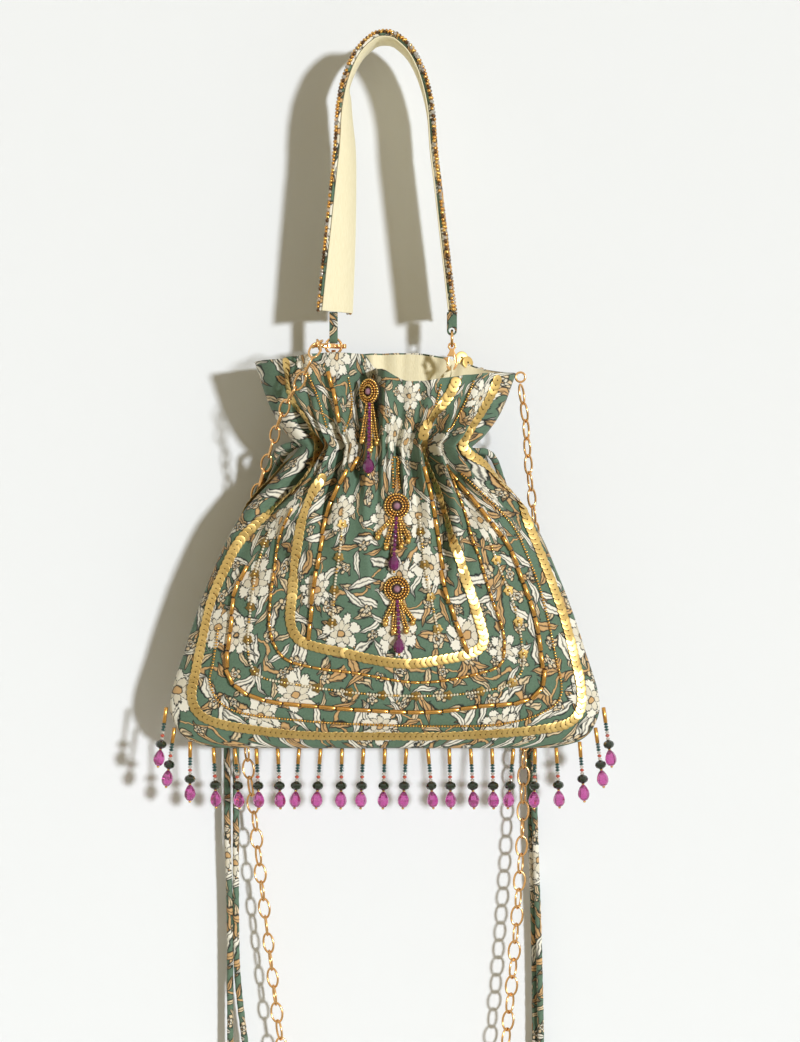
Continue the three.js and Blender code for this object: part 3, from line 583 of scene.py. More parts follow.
def metal_material(name, colour, shade, roughness, scale=900.0):
    nodes = Nodes(name)
    coords = nodes.node("ShaderNodeTexCoord").outputs["Object"]
    wear = nodes.noise(coords, scale, 2.0)
    tone = nodes.mix(wear, shade, colour)
    gloss = nodes.math("ADD", nodes.math("MULTIPLY", wear, 0.14), roughness)
    return nodes.set(Base_Color=tone, Metallic=1.0, Roughness=gloss)


def bead_material(name, colour, shade, roughness=0.12, metallic=0.0, clear=0.0):
    nodes = Nodes(name)
    coords = nodes.node("ShaderNodeTexCoord").outputs["Object"]
    streak = nodes.noise(coords, 500.0, 2.0)
    tone = nodes.mix(streak, shade, colour)
    return nodes.set(Base_Color=tone, Roughness=roughness, Metallic=metallic, Transmission_Weight=clear,
                     Coat_Weight=0.6, Coat_Roughness=0.05, IOR=1.52)


PRINT = print_material("printed_cloth")
PRINT_STRAP = print_material("printed_strap", 0.37)
PRINT_TAB = print_material("printed_tab", 0.21, True)
CREAM = cream_material()
ROSE_GOLD = metal_material("rose_gold", srgb(240, 196, 138), srgb(222, 168, 104), 0.14)
SEQUIN_GOLD = metal_material("sequin_gold", srgb(240, 210, 138), srgb(206, 170, 98), 0.3, 55.0)
SEQUIN_DULL = metal_material("sequin_dull", srgb(158, 132, 78), srgb(122, 98, 52), 0.42)
STITCH = metal_material("sequin_stitch", srgb(96, 74, 34), srgb(64, 48, 20), 0.5)
AMBER = bead_material("amber_bead", srgb(222, 170, 84), srgb(184, 126, 46), 0.2, 0.85)
GOLD_BEAD = bead_material("gold_bead", srgb(236, 196, 112), srgb(202, 152, 66), 0.18, 0.9)
BRONZE = bead_material("bronze_bead", srgb(112, 74, 26), srgb(70, 42, 14), 0.2, 0.7)
PEARL = bead_material("pearl_bead", srgb(238, 230, 208), srgb(214, 198, 164), 0.2)
CLEAR = bead_material("clear_bead", srgb(236, 232, 222), srgb(212, 204, 190), 0.05, 0.0, 0.6)
CORAL = bead_material("coral_bead", srgb(212, 96, 72), srgb(176, 62, 44))
TEAL = bead_material("teal_bead", srgb(20, 84, 78), srgb(10, 52, 50), 0.1)
GREEN = bead_material("green_crystal", srgb(34, 54, 28), srgb(12, 24, 10), 0.05, 0.0, 0.15)
MAGENTA = bead_material("magenta_crystal", srgb(230, 118, 196), srgb(190, 66, 152), 0.02, 0.0, 0.85)
PURPLE = bead_material("purple_crystal", srgb(146, 30, 118), srgb(96, 10, 80), 0.04, 0.0, 0.3)
PINK = bead_material("pink_stone", srgb(236, 190, 204), srgb(150, 70, 116), 0.05, 0.0, 0.4)
FELT = bead_material("felt_backing", srgb(60, 38, 14), srgb(40, 24, 10), 0.8)


# The bag's cloth

BODY_LEVEL = [0, 0.0215, 0.062, 0.135, 0.33, 0.55, 0.77, 0.905, 1]
BODY_WIDTH = [0.66, 0.84, 0.945, 1, 0.885, 0.71, 0.46, 0.185, 0]
BODY_DEPTH = [0.08, 0.18, 0.35, 0.56, 0.81, 0.97, 1, 0.95, NECK_DEPTH / BELLY_DEPTH]
RUFFLE_LEVEL = [0, 0.16, 0.5, 1]
RUFFLE_WIDTH = [0, 0.3, 0.68, 1]
RIM_FRONT = ([-1, -0.6, -0.2, -0.1, 0, 0.2, 0.6, 1], [-4, -1, 0, -7, -10, -16, -13, -10])
RIM_BACK = ([-1, -0.4, 0.2, 0.6, 1], [-4, 2, 3, -1, -10])


def half_width(level):
    body = eased(level, BODY_LEVEL, BODY_WIDTH)
    ruffle = eased(level - 1, RUFFLE_LEVEL, RUFFLE_WIDTH)
    return np.where(level <= 1, NECK_WIDTH + (HEM_WIDTH - NECK_WIDTH) * body,
                    NECK_WIDTH + (RIM_WIDTH - NECK_WIDTH) * ruffle) / 2


def half_depth(level):
    body = BELLY_DEPTH * eased(level, BODY_LEVEL, BODY_DEPTH)
    return np.where(level <= 1, body, NECK_DEPTH + (RIM_DEPTH - NECK_DEPTH) * (level - 1)) / 2


def cloth_height(level, side, facing):
    rise = np.where(facing < 0, eased(side, *RIM_FRONT), eased(side, *RIM_BACK))
    return np.where(level <= 1, level * NECK_HEIGHT, NECK_HEIGHT + (level - 1) * (RUFFLE_HEIGHT + rise))


def outline(level, side, facing):
    round_share = smooth(level, 0.35, 1)
    spread = (1 - SIDE_TURN) * side + SIDE_TURN * side ** 15
    turn = (side + (spread - side) * round_share) * math.pi / 2
    flat = np.maximum(1 - side * side, 0) ** 0.6
    x = half_width(level) * (side + (np.sin(turn) - side) * round_share)
    y = facing * half_depth(level) * (flat + (np.maximum(np.cos(turn), 0) - flat) * round_share)
    return x, y


# Deep valleys of the cloth: place across the neck, width, depth and the level where each fades out
VALLEYS_FRONT = [(-0.86, 0.065, 10.0, 0.4), (-0.56, 0.055, 8.0, 0.58), (-0.3, 0.04, 4.0, 0.78),
                 (0.16, 0.04, 4.0, 0.8), (0.34, 0.04, 4.0, 0.72), (0.54, 0.06, 12.0, 0.36),
                 (0.74, 0.045, 6.0, 0.58), (0.93, 0.04, 7.0, 0.62)]
VALLEYS_BACK = [(-0.8, 0.06, 8.0, 0.5), (-0.45, 0.055, 9.0, 0.45), (-0.1, 0.045, 5.0, 0.7),
                (0.2, 0.05, 8.0, 0.5), (0.62, 0.05, 6.0, 0.6), (0.9, 0.045, 5.0, 0.7)]


def fold_place(level, side):
    """Where a point's fold crosses the neck: middle folds fall straighter than the cloth spreads."""
    straight = 1.9 * (1 - smooth(np.abs(side), 0.4, 0.9))
    return side * (1 + straight * np.clip(1 - level, 0, 0.7))


def neck_share(level, start):
    """How strongly folds show: nothing below the start, most at the neck and less up to the rim."""
    above = np.maximum(0.1, 1 - 1.5 * (level - 1))
    return np.where(level <= 1, smooth(level, start, 0.97), above)


def fold_height(level, side, facing):
    """Uneven gathers at the neck, broad folds and a few deep valleys with swells beside them."""
    place = fold_place(level, side)
    fade = 1 - smooth(np.abs(side), 0.88, 1)
    drift = 0.022 * np.sin(6.1 * place + 0.8 * facing) + 0.013 * np.sin(15.7 * place + 2.0 + facing)
    broad = 1 - 2 * np.abs(np.sin(math.pi * (place + drift * fade) / FOLD_SPAN)) ** 2
    reach = 0.5 + 0.13 * np.sin(9.3 * place + 1.7 * facing) + 0.08 * np.sin(21 * place + 0.4)
    size = np.where(level <= 1, NECK_FOLD * smooth(level, reach - 0.1, 1.0),
                    NECK_FOLD + (RIM_FOLD - NECK_FOLD) * (level - 1))
    uneven = 0.75 + 0.45 * np.sin(11.3 * place + 2.1 * facing)
    gathers = np.sin(2 * math.pi * place / GATHER_SPAN + 3 * np.sin(4.7 * place + facing))
    height = size * uneven * broad + fade * GATHER * gathers * neck_share(level, 0.74)
    for facing_of, valleys in ((-1, VALLEYS_FRONT), (1, VALLEYS_BACK)):
        for at, width, depth, end in valleys:
            off = (place - at) / width
            swell = np.exp(-((off - 1.9) / 1.2) ** 2) + np.exp(-((off + 1.9) / 1.2) ** 2)
            shape = 0.3 * swell - np.exp(-off ** 2)
            height = height + np.where(facing == facing_of, fade * depth * shape * neck_share(level, end), 0)
    return height


def cloth_points(level, side, facing, lift, fold=1.0):
    """Points of the cloth at levels from the hem, 0, over the neck, 1, to the rim, 2."""
    level, side, facing = np.broadcast_arrays(np.asarray(level, float), side, facing)
    x, y = outline(level, side, facing)
    step = 0.01
    x1, y1 = outline(level, np.minimum(side + step, 1), facing)
    x0, y0 = outline(level, np.maximum(side - step, -1), facing)
    normal = unit(np.stack([-facing * (y1 - y0), facing * (x1 - x0)], axis=-1))
    edge = np.stack([np.sign(side), np.zeros_like(side)], axis=-1)
    turn_out = smooth(np.abs(side), 0.97, 1)[..., None]
    normal = unit(normal * (1 - turn_out) + edge * turn_out)
    swing = fold * fold_height(level, side, facing)
    off = side - PLEAT_SIDE
    span = np.where(off < 0, PLEAT_LEFT, PLEAT_RIGHT)
    pleat = PLEAT_DEPTH * smooth(level, 0.9, 1.6) * np.exp(-(off / span) ** 2)
    swing = swing - np.where(facing < 0, pleat, 0)
    puff = 1.6 * np.sin(5 * side + 4 * level) * smooth(level, 0.1, 0.4) * (1 - smooth(level, 0.6, 0.9))
    shift = (lift + swing + puff * (1 - np.abs(side)))[..., None] * normal
    height = cloth_height(level, side, facing)
    return np.stack([x + shift[..., 0], y + shift[..., 1] + BAG_Y, height + HEM_Z], axis=-1)


def cloth_grid(levels, columns, lift, fold=1.0):
    """Rows of points round the bag: from the right seam over the back to the left and back over the front."""
    step = np.arange(2 * columns) / columns
    side = np.where(step <= 1, 1 - 2 * step, 2 * step - 3)
    facing = np.where((step > 0) & (step < 1), 1.0, -1.0)
    grid = cloth_points(levels[:, None], side[None, :], facing[None, :], lift, fold)
    step = np.arange(2 * columns + 1) / columns
    around = step * HEM_WIDTH
    up = np.where(levels <= 1, levels * NECK_HEIGHT, NECK_HEIGHT + (levels - 1) * RUFFLE_HEIGHT)
    uv = np.stack(np.broadcast_arrays(around[None, :], up[:, None]), axis=-1)
    return grid, uv


def make_cloth():
    """The outer cloth; gives back its surface for the trim to lie on."""
    levels = np.concatenate([np.linspace(0, 0.14, 14, endpoint=False), np.linspace(0.14, 2, 112)])
    grid, uv = cloth_grid(levels, 190, 0)
    outer = grid_piece("outer_cloth_soft", grid, uv, PRINT, "bag")
    surface = BVHTree.FromPolygons(grid.reshape(-1, 3).tolist(), grid_faces(*grid.shape[:2]))
    thick = outer.modifiers.new("thickness", "SOLIDIFY")
    thick.thickness = CLOTH * MM * 0.7
    thick.offset = -1
    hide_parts("outer_cloth")
    return surface


def make_lining():
    levels = np.concatenate([np.linspace(0.09, 0.3, 8, endpoint=False), np.linspace(0.3, 1.985, 60)])
    inset = np.interp(levels, [0, 0.6, 0.9, 1, 1.1, 1.5, 1.9, 2], [2.4, 3.4, 9, 9.5, 9.5, 5, 1.8, 1.1])
    fold = np.interp(levels, [0, 1.2, 1.8, 2], [0.2, 0.25, 0.6, 1])
    grid, uv = cloth_grid(levels, 90, -inset[:, None], fold[:, None])
    bottom = grid[0].copy()
    bottom[:, 1] = BAG_Y
    grid = np.concatenate([bottom[None], grid])
    uv = np.concatenate([uv[:1], uv])
    lining = grid_piece("lining_soft", grid, uv, CREAM, "bag")
    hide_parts("lining")


CLOTH_SURFACE = make_cloth()
make_lining()


# Places on the cloth

def on_cloth(path, step, facing=-1, lift=0.0):
    """Points, directions along and normals at even steps of a path laid on the front or back."""
    flat = spline(path, 1.2)
    hits, normals = [], []
    for x, height in flat:
        start = Vector((x * (1 if facing < 0 else -1), facing * 120, height + HEM_Z))
        hit, normal, _, _ = CLOTH_SURFACE.ray_cast(start, Vector((0, -facing, 0)))
        if hit is None:
            continue
        if normal.y * facing < 0:
            normal = -normal
        hits.append(hit)
        normals.append(normal)
    hits, normals = np.array(hits), np.array(normals)
    kernel = np.ones(5) / 5
    if len(normals) > 8:
        normals[2:-2] = np.stack([np.convolve(normals[:, k], kernel, "valid") for k in range(3)], axis=1)
        hits[2:-2] = np.stack([np.convolve(hits[:, k], kernel, "valid") for k in range(3)], axis=1)
    joined = resample(np.hstack([hits, normals]), 1.0)
    along = distance_along(joined[:, :3])
    at = np.arange(step / 2, along[-1], step)
    joined = np.stack([np.interp(at, along, joined[:, k]) for k in range(6)], axis=1)
    points, normals = joined[:, :3], unit(joined[:, 3:])
    tangent = unit(np.gradient(points, axis=0))
    normals = unit(normals - tangent * np.sum(normals * tangent, axis=1, keepdims=True))
    return points + normals * lift, tangent, normals


def upright(point, tangent, normal):
    """A place whose Z runs along the tangent and whose Y points out of the cloth."""
    return point, np.cross(normal, tangent), normal, tangent


def facing_out(point, tangent, normal, tilt=0.0):
    """A place whose Z points out of the cloth, leaned along the tangent."""
    lean = math.radians(tilt)
    out = normal * math.cos(lean) + tangent * math.sin(lean)
    along = tangent * math.cos(lean) - normal * math.sin(lean)
    return point, along, np.cross(out, along), out


SEQUIN_SHAPE = lathe([(0, 0.02), (0.3, 0.018), (0.47, 0.008), (0.5, 0.0), (0.49, -0.02)], 20)
SEQUIN_EYE = lathe([(0, 0.1), (0.06, 0.08), (0.075, 0.0)], 8)
BEAD = ball(8, 6)
TUBE_BEAD = lathe([(0.2, -0.5), (0.42, -0.5), (0.5, -0.47), (0.5, 0.47), (0.42, 0.5), (0.2, 0.5)], 10)


def scalloped(shape, lobes, depth):
    points = shape.points.copy()
    angle = np.arctan2(points[:, 1], points[:, 0])
    points[:, :2] *= (1 - depth * (0.5 - 0.5 * np.cos(lobes * angle)))[:, None]
    return Shape(points, shape.faces, shape.smooth)


FLOWER_SEQUIN = scalloped(lathe([(0.1, 0.03), (0.3, 0.05), (0.5, 0.0)], 14), 5, 0.34)


def sequin_band(name, path, node):
    batch = Batch(SEQUIN_GOLD, STITCH)
    for facing in (-1, 1):
        for point, tangent, normal in zip(*on_cloth(path, SEQUIN_STEP, facing, 0.9)):
            roll = math.radians(rng.uniform(-7, 7))
            rolled = unit(normal * math.cos(roll) + np.cross(normal, tangent) * math.sin(roll))
            place = facing_out(point, tangent, rolled, 7 + rng.uniform(-5, 5))
            batch.add(SEQUIN_SHAPE, place, SEQUIN_GOLD, (SEQUIN,) * 3)
            batch.add(SEQUIN_EYE, (point + normal * 0.2, *place[1:]), STITCH, (SEQUIN, SEQUIN, 1))
    band = batch.build(name, "bag")
    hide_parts(node)


def seed_line(batch, path, facing, size, materials):
    for i, (point, tangent, normal) in enumerate(zip(*on_cloth(path, size * 0.96, facing, size * 0.45))):
        wide = size * rng.uniform(0.92, 1.06)
        material = materials[i % len(materials)]
        batch.add(BEAD, upright(point, tangent, normal), material, (wide, wide, size * 0.8))


def bugle_line(batch, path, facing, length, width, spacer):
    step = length + spacer * 0.9
    for point, tangent, normal in zip(*on_cloth(path, step, facing, width * 0.5)):
        batch.add(TUBE_BEAD, upright(point, tangent, normal), AMBER, (width, width, length))
        gap = point + tangent * (step / 2)
        batch.add(BEAD, upright(gap, tangent, normal), BRONZE, (width * 0.85, width * 0.85, spacer * 0.8))


def pearl_line(batch, path, facing):
    """Pearls with gold beads and a flower sequin in every eleven."""
    for i, (point, tangent, normal) in enumerate(zip(*on_cloth(path, SEED, facing, SEED * 0.45))):
        if i % 11 == 5:
            flower = facing_out(point + normal * 0.3, tangent, normal)
            batch.add(FLOWER_SEQUIN, flower, SEQUIN_DULL, (6.2, 6.2, 3))
            batch.add(BEAD, upright(point + normal * 0.9, tangent, normal), GOLD_BEAD, (SEED,) * 3)
        else:
            material = PEARL if i % 11 < 9 else GOLD_BEAD
            batch.add(BEAD, upright(point, tangent, normal), material, (SEED, SEED, SEED * 0.85))


def bead_lines():
    for facing, name in ((-1, "front"), (1, "back")):
        batch = Batch(AMBER, BRONZE, GOLD_BEAD, PEARL, SEQUIN_DULL)
        bugle_line(batch, LINE_FINE, facing, FINE_BUGLE, FINE_WIDTH, FINE_SPACER)
        pearl_line(batch, LINE_PEARL, facing)
        bugle_line(batch, LINE_BUGLE, facing, BUGLE, BUGLE_WIDTH, SPACER)
        seed_line(batch, LINE_SEED, facing, SEED, [GOLD_BEAD, GOLD_BEAD, AMBER])
        for leg in LEGS_BUGLE:
            bugle_line(batch, leg, facing, BUGLE, BUGLE_WIDTH, SPACER)
        for leg in LEGS_PEARL:
            pearl_line(batch, leg, facing)
        for leg in LEGS_SEED:
            seed_line(batch, leg, facing, LEG_SEED, [GOLD_BEAD, AMBER, GOLD_BEAD])
        batch.build(f"bead_lines_{name}", "bag")


def rim_sequins():
    """Two sequins that stand up from the back rim near its right end."""
    batch = Batch(SEQUIN_GOLD, STITCH)
    for side, lean, rise in ((0.66, 12, 2.2), (0.72, 34, 0.6)):
        point = cloth_points(2.0, side, 1.0, 1.0) + np.array([0, -1.5, rise])
        turn = math.radians(lean)
        out = np.array([math.sin(turn), -math.cos(turn), 0.1])
        place = facing_out(point, np.array([math.cos(turn), math.sin(turn), 0]), unit(out))
        batch.add(SEQUIN_SHAPE, place, SEQUIN_GOLD, (RIM_SEQUIN,) * 3)
        batch.add(SEQUIN_EYE, (point + out * 0.2, *place[1:]), STITCH, (RIM_SEQUIN + 1, RIM_SEQUIN + 1, 1))
    batch.build("rim_sequins", "bag")


rim_sequins()
sequin_band("sequin_band_outer_soft", BAND_OUTER, "sequin_band_outer")
sequin_band("sequin_band_inner_soft", BAND_INNER, "sequin_band_inner")
bead_lines()


# Brooches

FACET_DROP = lathe([(0, -1), (0.14, -0.985), (0.3, -0.92), (0.45, -0.76), (0.5, -0.58), (0.45, -0.38),
                    (0.3, -0.17), (0.14, -0.03), (0, 0)], 9, False)

# Rounds of beads on a medallion: radius, bead size, material and lift
BEAD_ROUNDS = [(6.3, 1.5, GOLD_BEAD, 0.7), (4.75, 1.45, AMBER, 1.0), (3.3, 1.4, GOLD_BEAD, 1.5)]


def front_of(x, height, radius):
    """The furthest forward that the cloth comes over a round patch."""
    spots = [(x, height)] + [(x + radius * math.cos(a), height + radius * math.sin(a)) for a in range(6)]
    hits = [CLOTH_SURFACE.ray_cast(Vector((px, -120, pz + HEM_Z)), Vector((0, 1, 0)))[0] for px, pz in spots]
    return min(hit.y for hit in hits if hit)


def bead_run(batch, start, end, size, material):
    start, end = np.array(start, float), np.array(end, float)
    count = max(2, round(np.linalg.norm(end - start) / (size * 0.92)))
    along = unit(end - start)
    side = unit(np.cross(along, (0, 1, 0)))
    for t in np.linspace(0, 1, count):
        place = (start + (end - start) * t, side, np.cross(along, side), along)
        batch.add(BEAD, place, material, (size,) * 3)


def brooch(name, place, ends, drop, turn):
    """A medallion of beads round a stone, a fan of bead strands and a purple drop."""
    batch = Batch(GOLD_BEAD, PINK, PURPLE, FELT, AMBER)
    x, height = place
    centre = np.array([x, front_of(x, height, MEDALLION / 2) - 0.5 + turn / 8, height + HEM_Z])
    facing = math.radians(turn)
    flat = (np.array([math.cos(facing), -math.sin(facing), 0]), np.array([0, 0, 1]),
            np.array([-math.sin(facing), -math.cos(facing), 0]))
    disc = lathe([(0, 0.12), (0.48, 0.1), (0.5, 0.0), (0.5, -0.05)], 28)
    batch.add(disc, (centre, *flat), FELT, (MEDALLION, MEDALLION, 6))
    for radius, size, material, lift in BEAD_ROUNDS:
        count = round(2 * math.pi * radius / (size * 0.98))
        for k in range(count):
            angle = 2 * math.pi * k / count
            spot = np.array([radius * math.cos(angle), radius * math.sin(angle), lift])
            batch.add(BEAD, (centre + spot @ np.array(flat), *flat), material, (size,) * 3)
    stone = lathe([(0, 0.42), (0.2, 0.38), (0.38, 0.24), (0.5, 0.0), (0.5, -0.1)][::-1], 10, False)
    batch.add(stone, (centre + flat[2] * 1.3, *flat), PINK, (3.8, 3.8, 3.8))
    for ex, ez in ends:
        root = centre + np.array([ex * 0.25, -0.9, -MEDALLION * 0.5])
        tip = np.array([x + ex, front_of(x + ex, height + ez, 2) - 0.9, height + ez + HEM_Z])
        for shift in (-0.75, 0.75):
            bead_run(batch, root + np.array([shift, 0, 0]), tip + np.array([shift, 0, 1.4]), 1.45, GOLD_BEAD)
        batch.add(BEAD, (tip + np.array([0, -0.5, -0.6]), *flat), GOLD_BEAD, (3.3, 3.6, 3.2))
        batch.add(BEAD, (tip + np.array([0.9, -0.9, 1.2]), *flat), GOLD_BEAD, (2.2,) * 3)
    top_x, top_height = x + drop[0], height + drop[1]
    forward = front_of(top_x, top_height - DROP_LENGTH / 2, DROP_WIDTH / 2) - DROP_WIDTH * 0.45
    top = np.array([top_x, forward, top_height + HEM_Z])
    strand_top = centre + np.array([drop[0] * 0.2, -1.2, -MEDALLION * 0.48])
    strand_end = np.array([top_x, forward, top_height + HEM_Z + 0.8])
    bead_run(batch, strand_top, strand_end, 2.3, PURPLE)
    made = batch.build(f"brooch_{name}_beads", "bag")
    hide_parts(f"brooch_{name}")
    gem = Batch(PURPLE, GOLD_BEAD)
    gem.add(FACET_DROP, (top, *AXES), PURPLE, (DROP_WIDTH, DROP_WIDTH, DROP_LENGTH - 1.2))
    gem.add(BEAD, (top + np.array([0, 0, -DROP_LENGTH + 0.7]), *AXES), GOLD_BEAD, (1.6,) * 3)
    piece = gem.build(f"brooch_drop_{name}_gem", "bag")
    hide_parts(f"brooch_drop_{name}")


def button_loop():
    """A beaded loop below the neck, with a run of beads in it."""
    (x, height), tall, wide = BUTTON_LOOP
    batch = Batch(AMBER, GOLD_BEAD)
    left, right = x - wide / 2 + 0.8, x + wide / 2 - 0.8
    path = [(left, height - tall / 2), (left, height + tall / 2 - 1), (x, height + tall / 2),
            (right, height + tall / 2 - 1), (right, height - tall / 2)]
    seed_line(batch, path, -1, 1.7, [AMBER, GOLD_BEAD])
    seed_line(batch, [(x, height - tall / 2 + 1), (x, height + tall / 2 - 3)], -1, 1.4, [AMBER])
    batch.build("button_loop", "bag")


for brooch_name, brooch_places in BROOCHES.items():
    brooch(brooch_name, *brooch_places)
button_loop()


# Fringe: one strand, used at every place along the hem

def strand_mesh():
    batch = Batch(AMBER, TEAL, CLEAR, CORAL, GREEN, GOLD_BEAD, MAGENTA)
    z = 0.0
    rows = [(TUBE_BEAD, AMBER, 2.2, 8.5), *[(BEAD, TEAL, 2.5, 1.5)] * 3,
            (BEAD, CLEAR, 2.3, 1.6), (BEAD, CORAL, 2.4, 1.8), (BEAD, CLEAR, 2.3, 1.6)]
    for shape, material, wide, tall in rows:
        batch.add(shape, (np.array([0, 0, z - tall / 2]), *AXES), material, (wide, wide, tall))
        z -= tall
    profile = [(0.16, -0.5), (0.42, -0.3), (0.5, -0.08), (0.5, 0.08), (0.42, 0.3), (0.16, 0.5)]
    size = (RONDELLE_WIDTH, RONDELLE_WIDTH, RONDELLE_HEIGHT)
    batch.add(lathe(profile, 11, False), (np.array([0, 0, z - RONDELLE_HEIGHT / 2]), *AXES), GREEN, size)
    z -= RONDELLE_HEIGHT
    batch.add(BEAD, (np.array([0, 0, z - 0.4]), *AXES), GOLD_BEAD, (1.7, 1.7, 1.0))
    z -= 0.6
    size = (FRINGE_DROP_WIDTH, FRINGE_DROP_WIDTH, FRINGE_DROP_LENGTH)
    batch.add(FACET_DROP, (np.array([0, 0, z]), *AXES), MAGENTA, size)
    z -= FRINGE_DROP_LENGTH
    batch.add(BEAD, (np.array([0, 0, z - 0.3]), *AXES), GOLD_BEAD, (1.6, 1.6, 1.4))
    return batch


def fringe():
    batch = strand_mesh()
    names = sorted(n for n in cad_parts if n.startswith("fringe_strand"))
    for i, name in enumerate(names):
        low, high = (np.array(c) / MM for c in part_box(name))
        top = np.array([(low[0] + high[0]) / 2, (low[1] + high[1]) / 2, high[2]])
        outward = FRINGE_END_LEAN * ((i < 2) - (i > len(names) - 3))
        degrees = outward + rng.uniform(-FRINGE_LEAN, FRINGE_LEAN) * (outward == 0)
        lean = Matrix.Rotation(math.radians(degrees), 3, "Y")
        turn = lean @ Matrix.Rotation(rng.uniform(0, 6.28), 3, "Z")
        points = np.vstack(batch.points) @ np.array(turn).T + top
        piece = new_piece(f"{name}_beads", points, batch.faces, batch.materials, name,
                          slots=batch.slots, smooth_faces=batch.smooth)
        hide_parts(name)


fringe()


# Drawstrings and chain

def knot_shape():
    """A trefoil loop, pulled flat."""
    t = np.linspace(0, 2 * math.pi, 40)
    x = np.sin(t) + 2 * np.sin(2 * t)
    y = np.cos(t) - 2 * np.cos(2 * t)
    return np.stack([x, y, -1.6 * np.sin(3 * t)], axis=1)


def drawstring_tail(name, route, node):
    points = spline(route, 2.0)
    wrinkle = np.array([1 + 0.05 * math.sin(i * 1.9) + rng.uniform(-0.03, 0.03) for i in range(len(points))])
    tail = tube_piece(f"drawstring_{name}", points, CORD / 2 * wrinkle, PRINT_STRAP, "bag")
    knot_points = knot_shape() + points[-1]
    knot = tube_piece(f"drawstring_knot_{name}", knot_points, KNOT_RADIUS, PRINT_STRAP, "bag", 8)
    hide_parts(node)


def shoulder_chain():
    points = spline(CHAIN_ROUTE, 1.0)
    length = distance_along(points)[-1]
    count = round(length / LINK_PITCH)
    centres = resample(points, length / (2 * count))[1::2]
    along = unit(np.gradient(points, axis=0))
    at = np.linspace(0, len(points) - 1, 2 * count + 1)[1::2]
    link = wire_loop((LINK_WIDTH - LINK_WIRE) / 2, (LINK_PITCH + LINK_WIRE) / 2, LINK_WIRE, 22, 7)
    batch = Batch(ROSE_GOLD)
    drift = 0.0
    for i, centre in enumerate(centres):
        k = min(int(round(at[i])), len(points) - 1)
        a = along[k]
        flat = unit(np.cross(a, np.array([0, 1, 0]) - a * a[1]))
        drift += rng.uniform(-9, 9) - drift * 0.08
        roll = math.radians((18 if i % 2 else 78) + drift)
        front = np.cross(a, flat)
        wide = flat * math.cos(roll) + front * math.sin(roll)
        batch.add(link, (centre, wide, np.cross(a, wide), a), ROSE_GOLD)
    chain = batch.build("shoulder_chain_links", "bag")
    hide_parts("shoulder_chain")


for tail_name, tail_route in CORD_ROUTES.items():
    drawstring_tail(tail_name, tail_route, f"drawstring_{tail_name.split('_')[0]}")
shoulder_chain()


# Handle

def strap_frames():
    """The strap's front edge, and the ways across it and out of the arch, in even steps."""
    stations = [(-ARCH_HALF_WIDTH - ARM_SPREAD * t, -ARCH_HEIGHT - (HANDLE_DROP - ARCH_HEIGHT) * t)
                for t in (1, 0.75, 0.5, 0.25)]
    for turn in (0, 22, 42, 60, 75):
        reach = ARCH_HALF_WIDTH * math.cos(math.radians(turn)) ** 0.95
        stations.append((-reach, ARCH_HEIGHT * (math.sin(math.radians(turn)) - 1)))
    stations.append((-HANG_FLAT / 2, 0))
    stations += [(-x, z) for x, z in reversed(stations)]
    line = spline(stations, 2.5)
    ahead = unit(np.gradient(line, axis=0))
    frames = []
    for (x, z), (dx, dz) in zip(line, ahead):
        drop = max(0, (-z - TWIST_START) / (HANDLE_DROP - TWIST_START))
        twist = math.radians((TWIST_LEFT if x < 0 else TWIST_RIGHT) * drop ** 0.6)
        across = np.array([math.sin(twist), math.cos(twist), 0])
        out = unit(np.cross((dx, 0, dz), across))
        frames.append((np.array([x, -STRAP_WIDTH / 2 * math.cos(twist), z]), across, out))
    return frames


def strap_layer(name, profile, material, node):
    """A strip along the strap from (across, out) points round its section."""
    grid = np.array([[front + across * w + out * lift for w, lift in profile]
                     for front, across, out in STRAP])
    length = distance_along(grid.mean(axis=1))
    girth = distance_along(np.array(profile + profile[:1]))
    uv = np.stack(np.broadcast_arrays(girth[None, :], length[:, None]), axis=-1)
    piece = grid_piece(name, grid, uv, material, "handle")
    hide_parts(node)


def rounded_strip(low, high, edge, margin=0.0):
    """A flat section with round long edges, from its back corner round to the inside."""
    left, right = margin, STRAP_WIDTH - margin
    return [(left + edge, low), (right - edge, low), (right, low + edge), (right, high - edge),
            (right - edge, high), (STRAP_WIDTH * 0.7, high + 0.15), (STRAP_WIDTH * 0.3, high + 0.15),
            (left + edge, high), (left, high - edge), (left, low + edge)]


def strap_beads(name, across_at, node):
    batch = Batch(GOLD_BEAD, AMBER, BRONZE, CLEAR)
    outward = -1 if across_at < STRAP_WIDTH / 2 else 1
    rows = [(across_at, STRAP_OUTER + 0.5), (across_at + outward * 1.3, STRAP_OUTER - 0.2)]
    for across_mm, lift in rows:
        line = np.array([front + across * across_mm + out * lift for front, across, out in STRAP])
        line = resample(line, STRAP_SEED)
        for point in line:
            material = rng.choice((GOLD_BEAD, AMBER, AMBER, BRONZE, CLEAR))
            size = STRAP_SEED * rng.uniform(0.9, 1.12)
            batch.add(BEAD, (point, *AXES), material, (size,) * 3)
    piece = batch.build(name, "handle")
    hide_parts(node)


STRAP = strap_frames()
STRAP_SECTION = rounded_strip(FACING + 0.25, STRAP_OUTER, 0.8)
FACING_SECTION = rounded_strip(0, FACING, 0.3, 0.4)
strap_layer("handle_strap_soft", STRAP_SECTION, PRINT_STRAP, "handle_strap")
strap_layer("handle_facing_soft", FACING_SECTION, CREAM, "handle_facing")
strap_beads("handle_beads_front_seeds", STRAP_BEADS_IN, "handle_beads_front")
strap_beads("handle_beads_back_seeds", STRAP_WIDTH - STRAP_BEADS_IN, "handle_beads_back")


# Metal fittings and their cloth loops

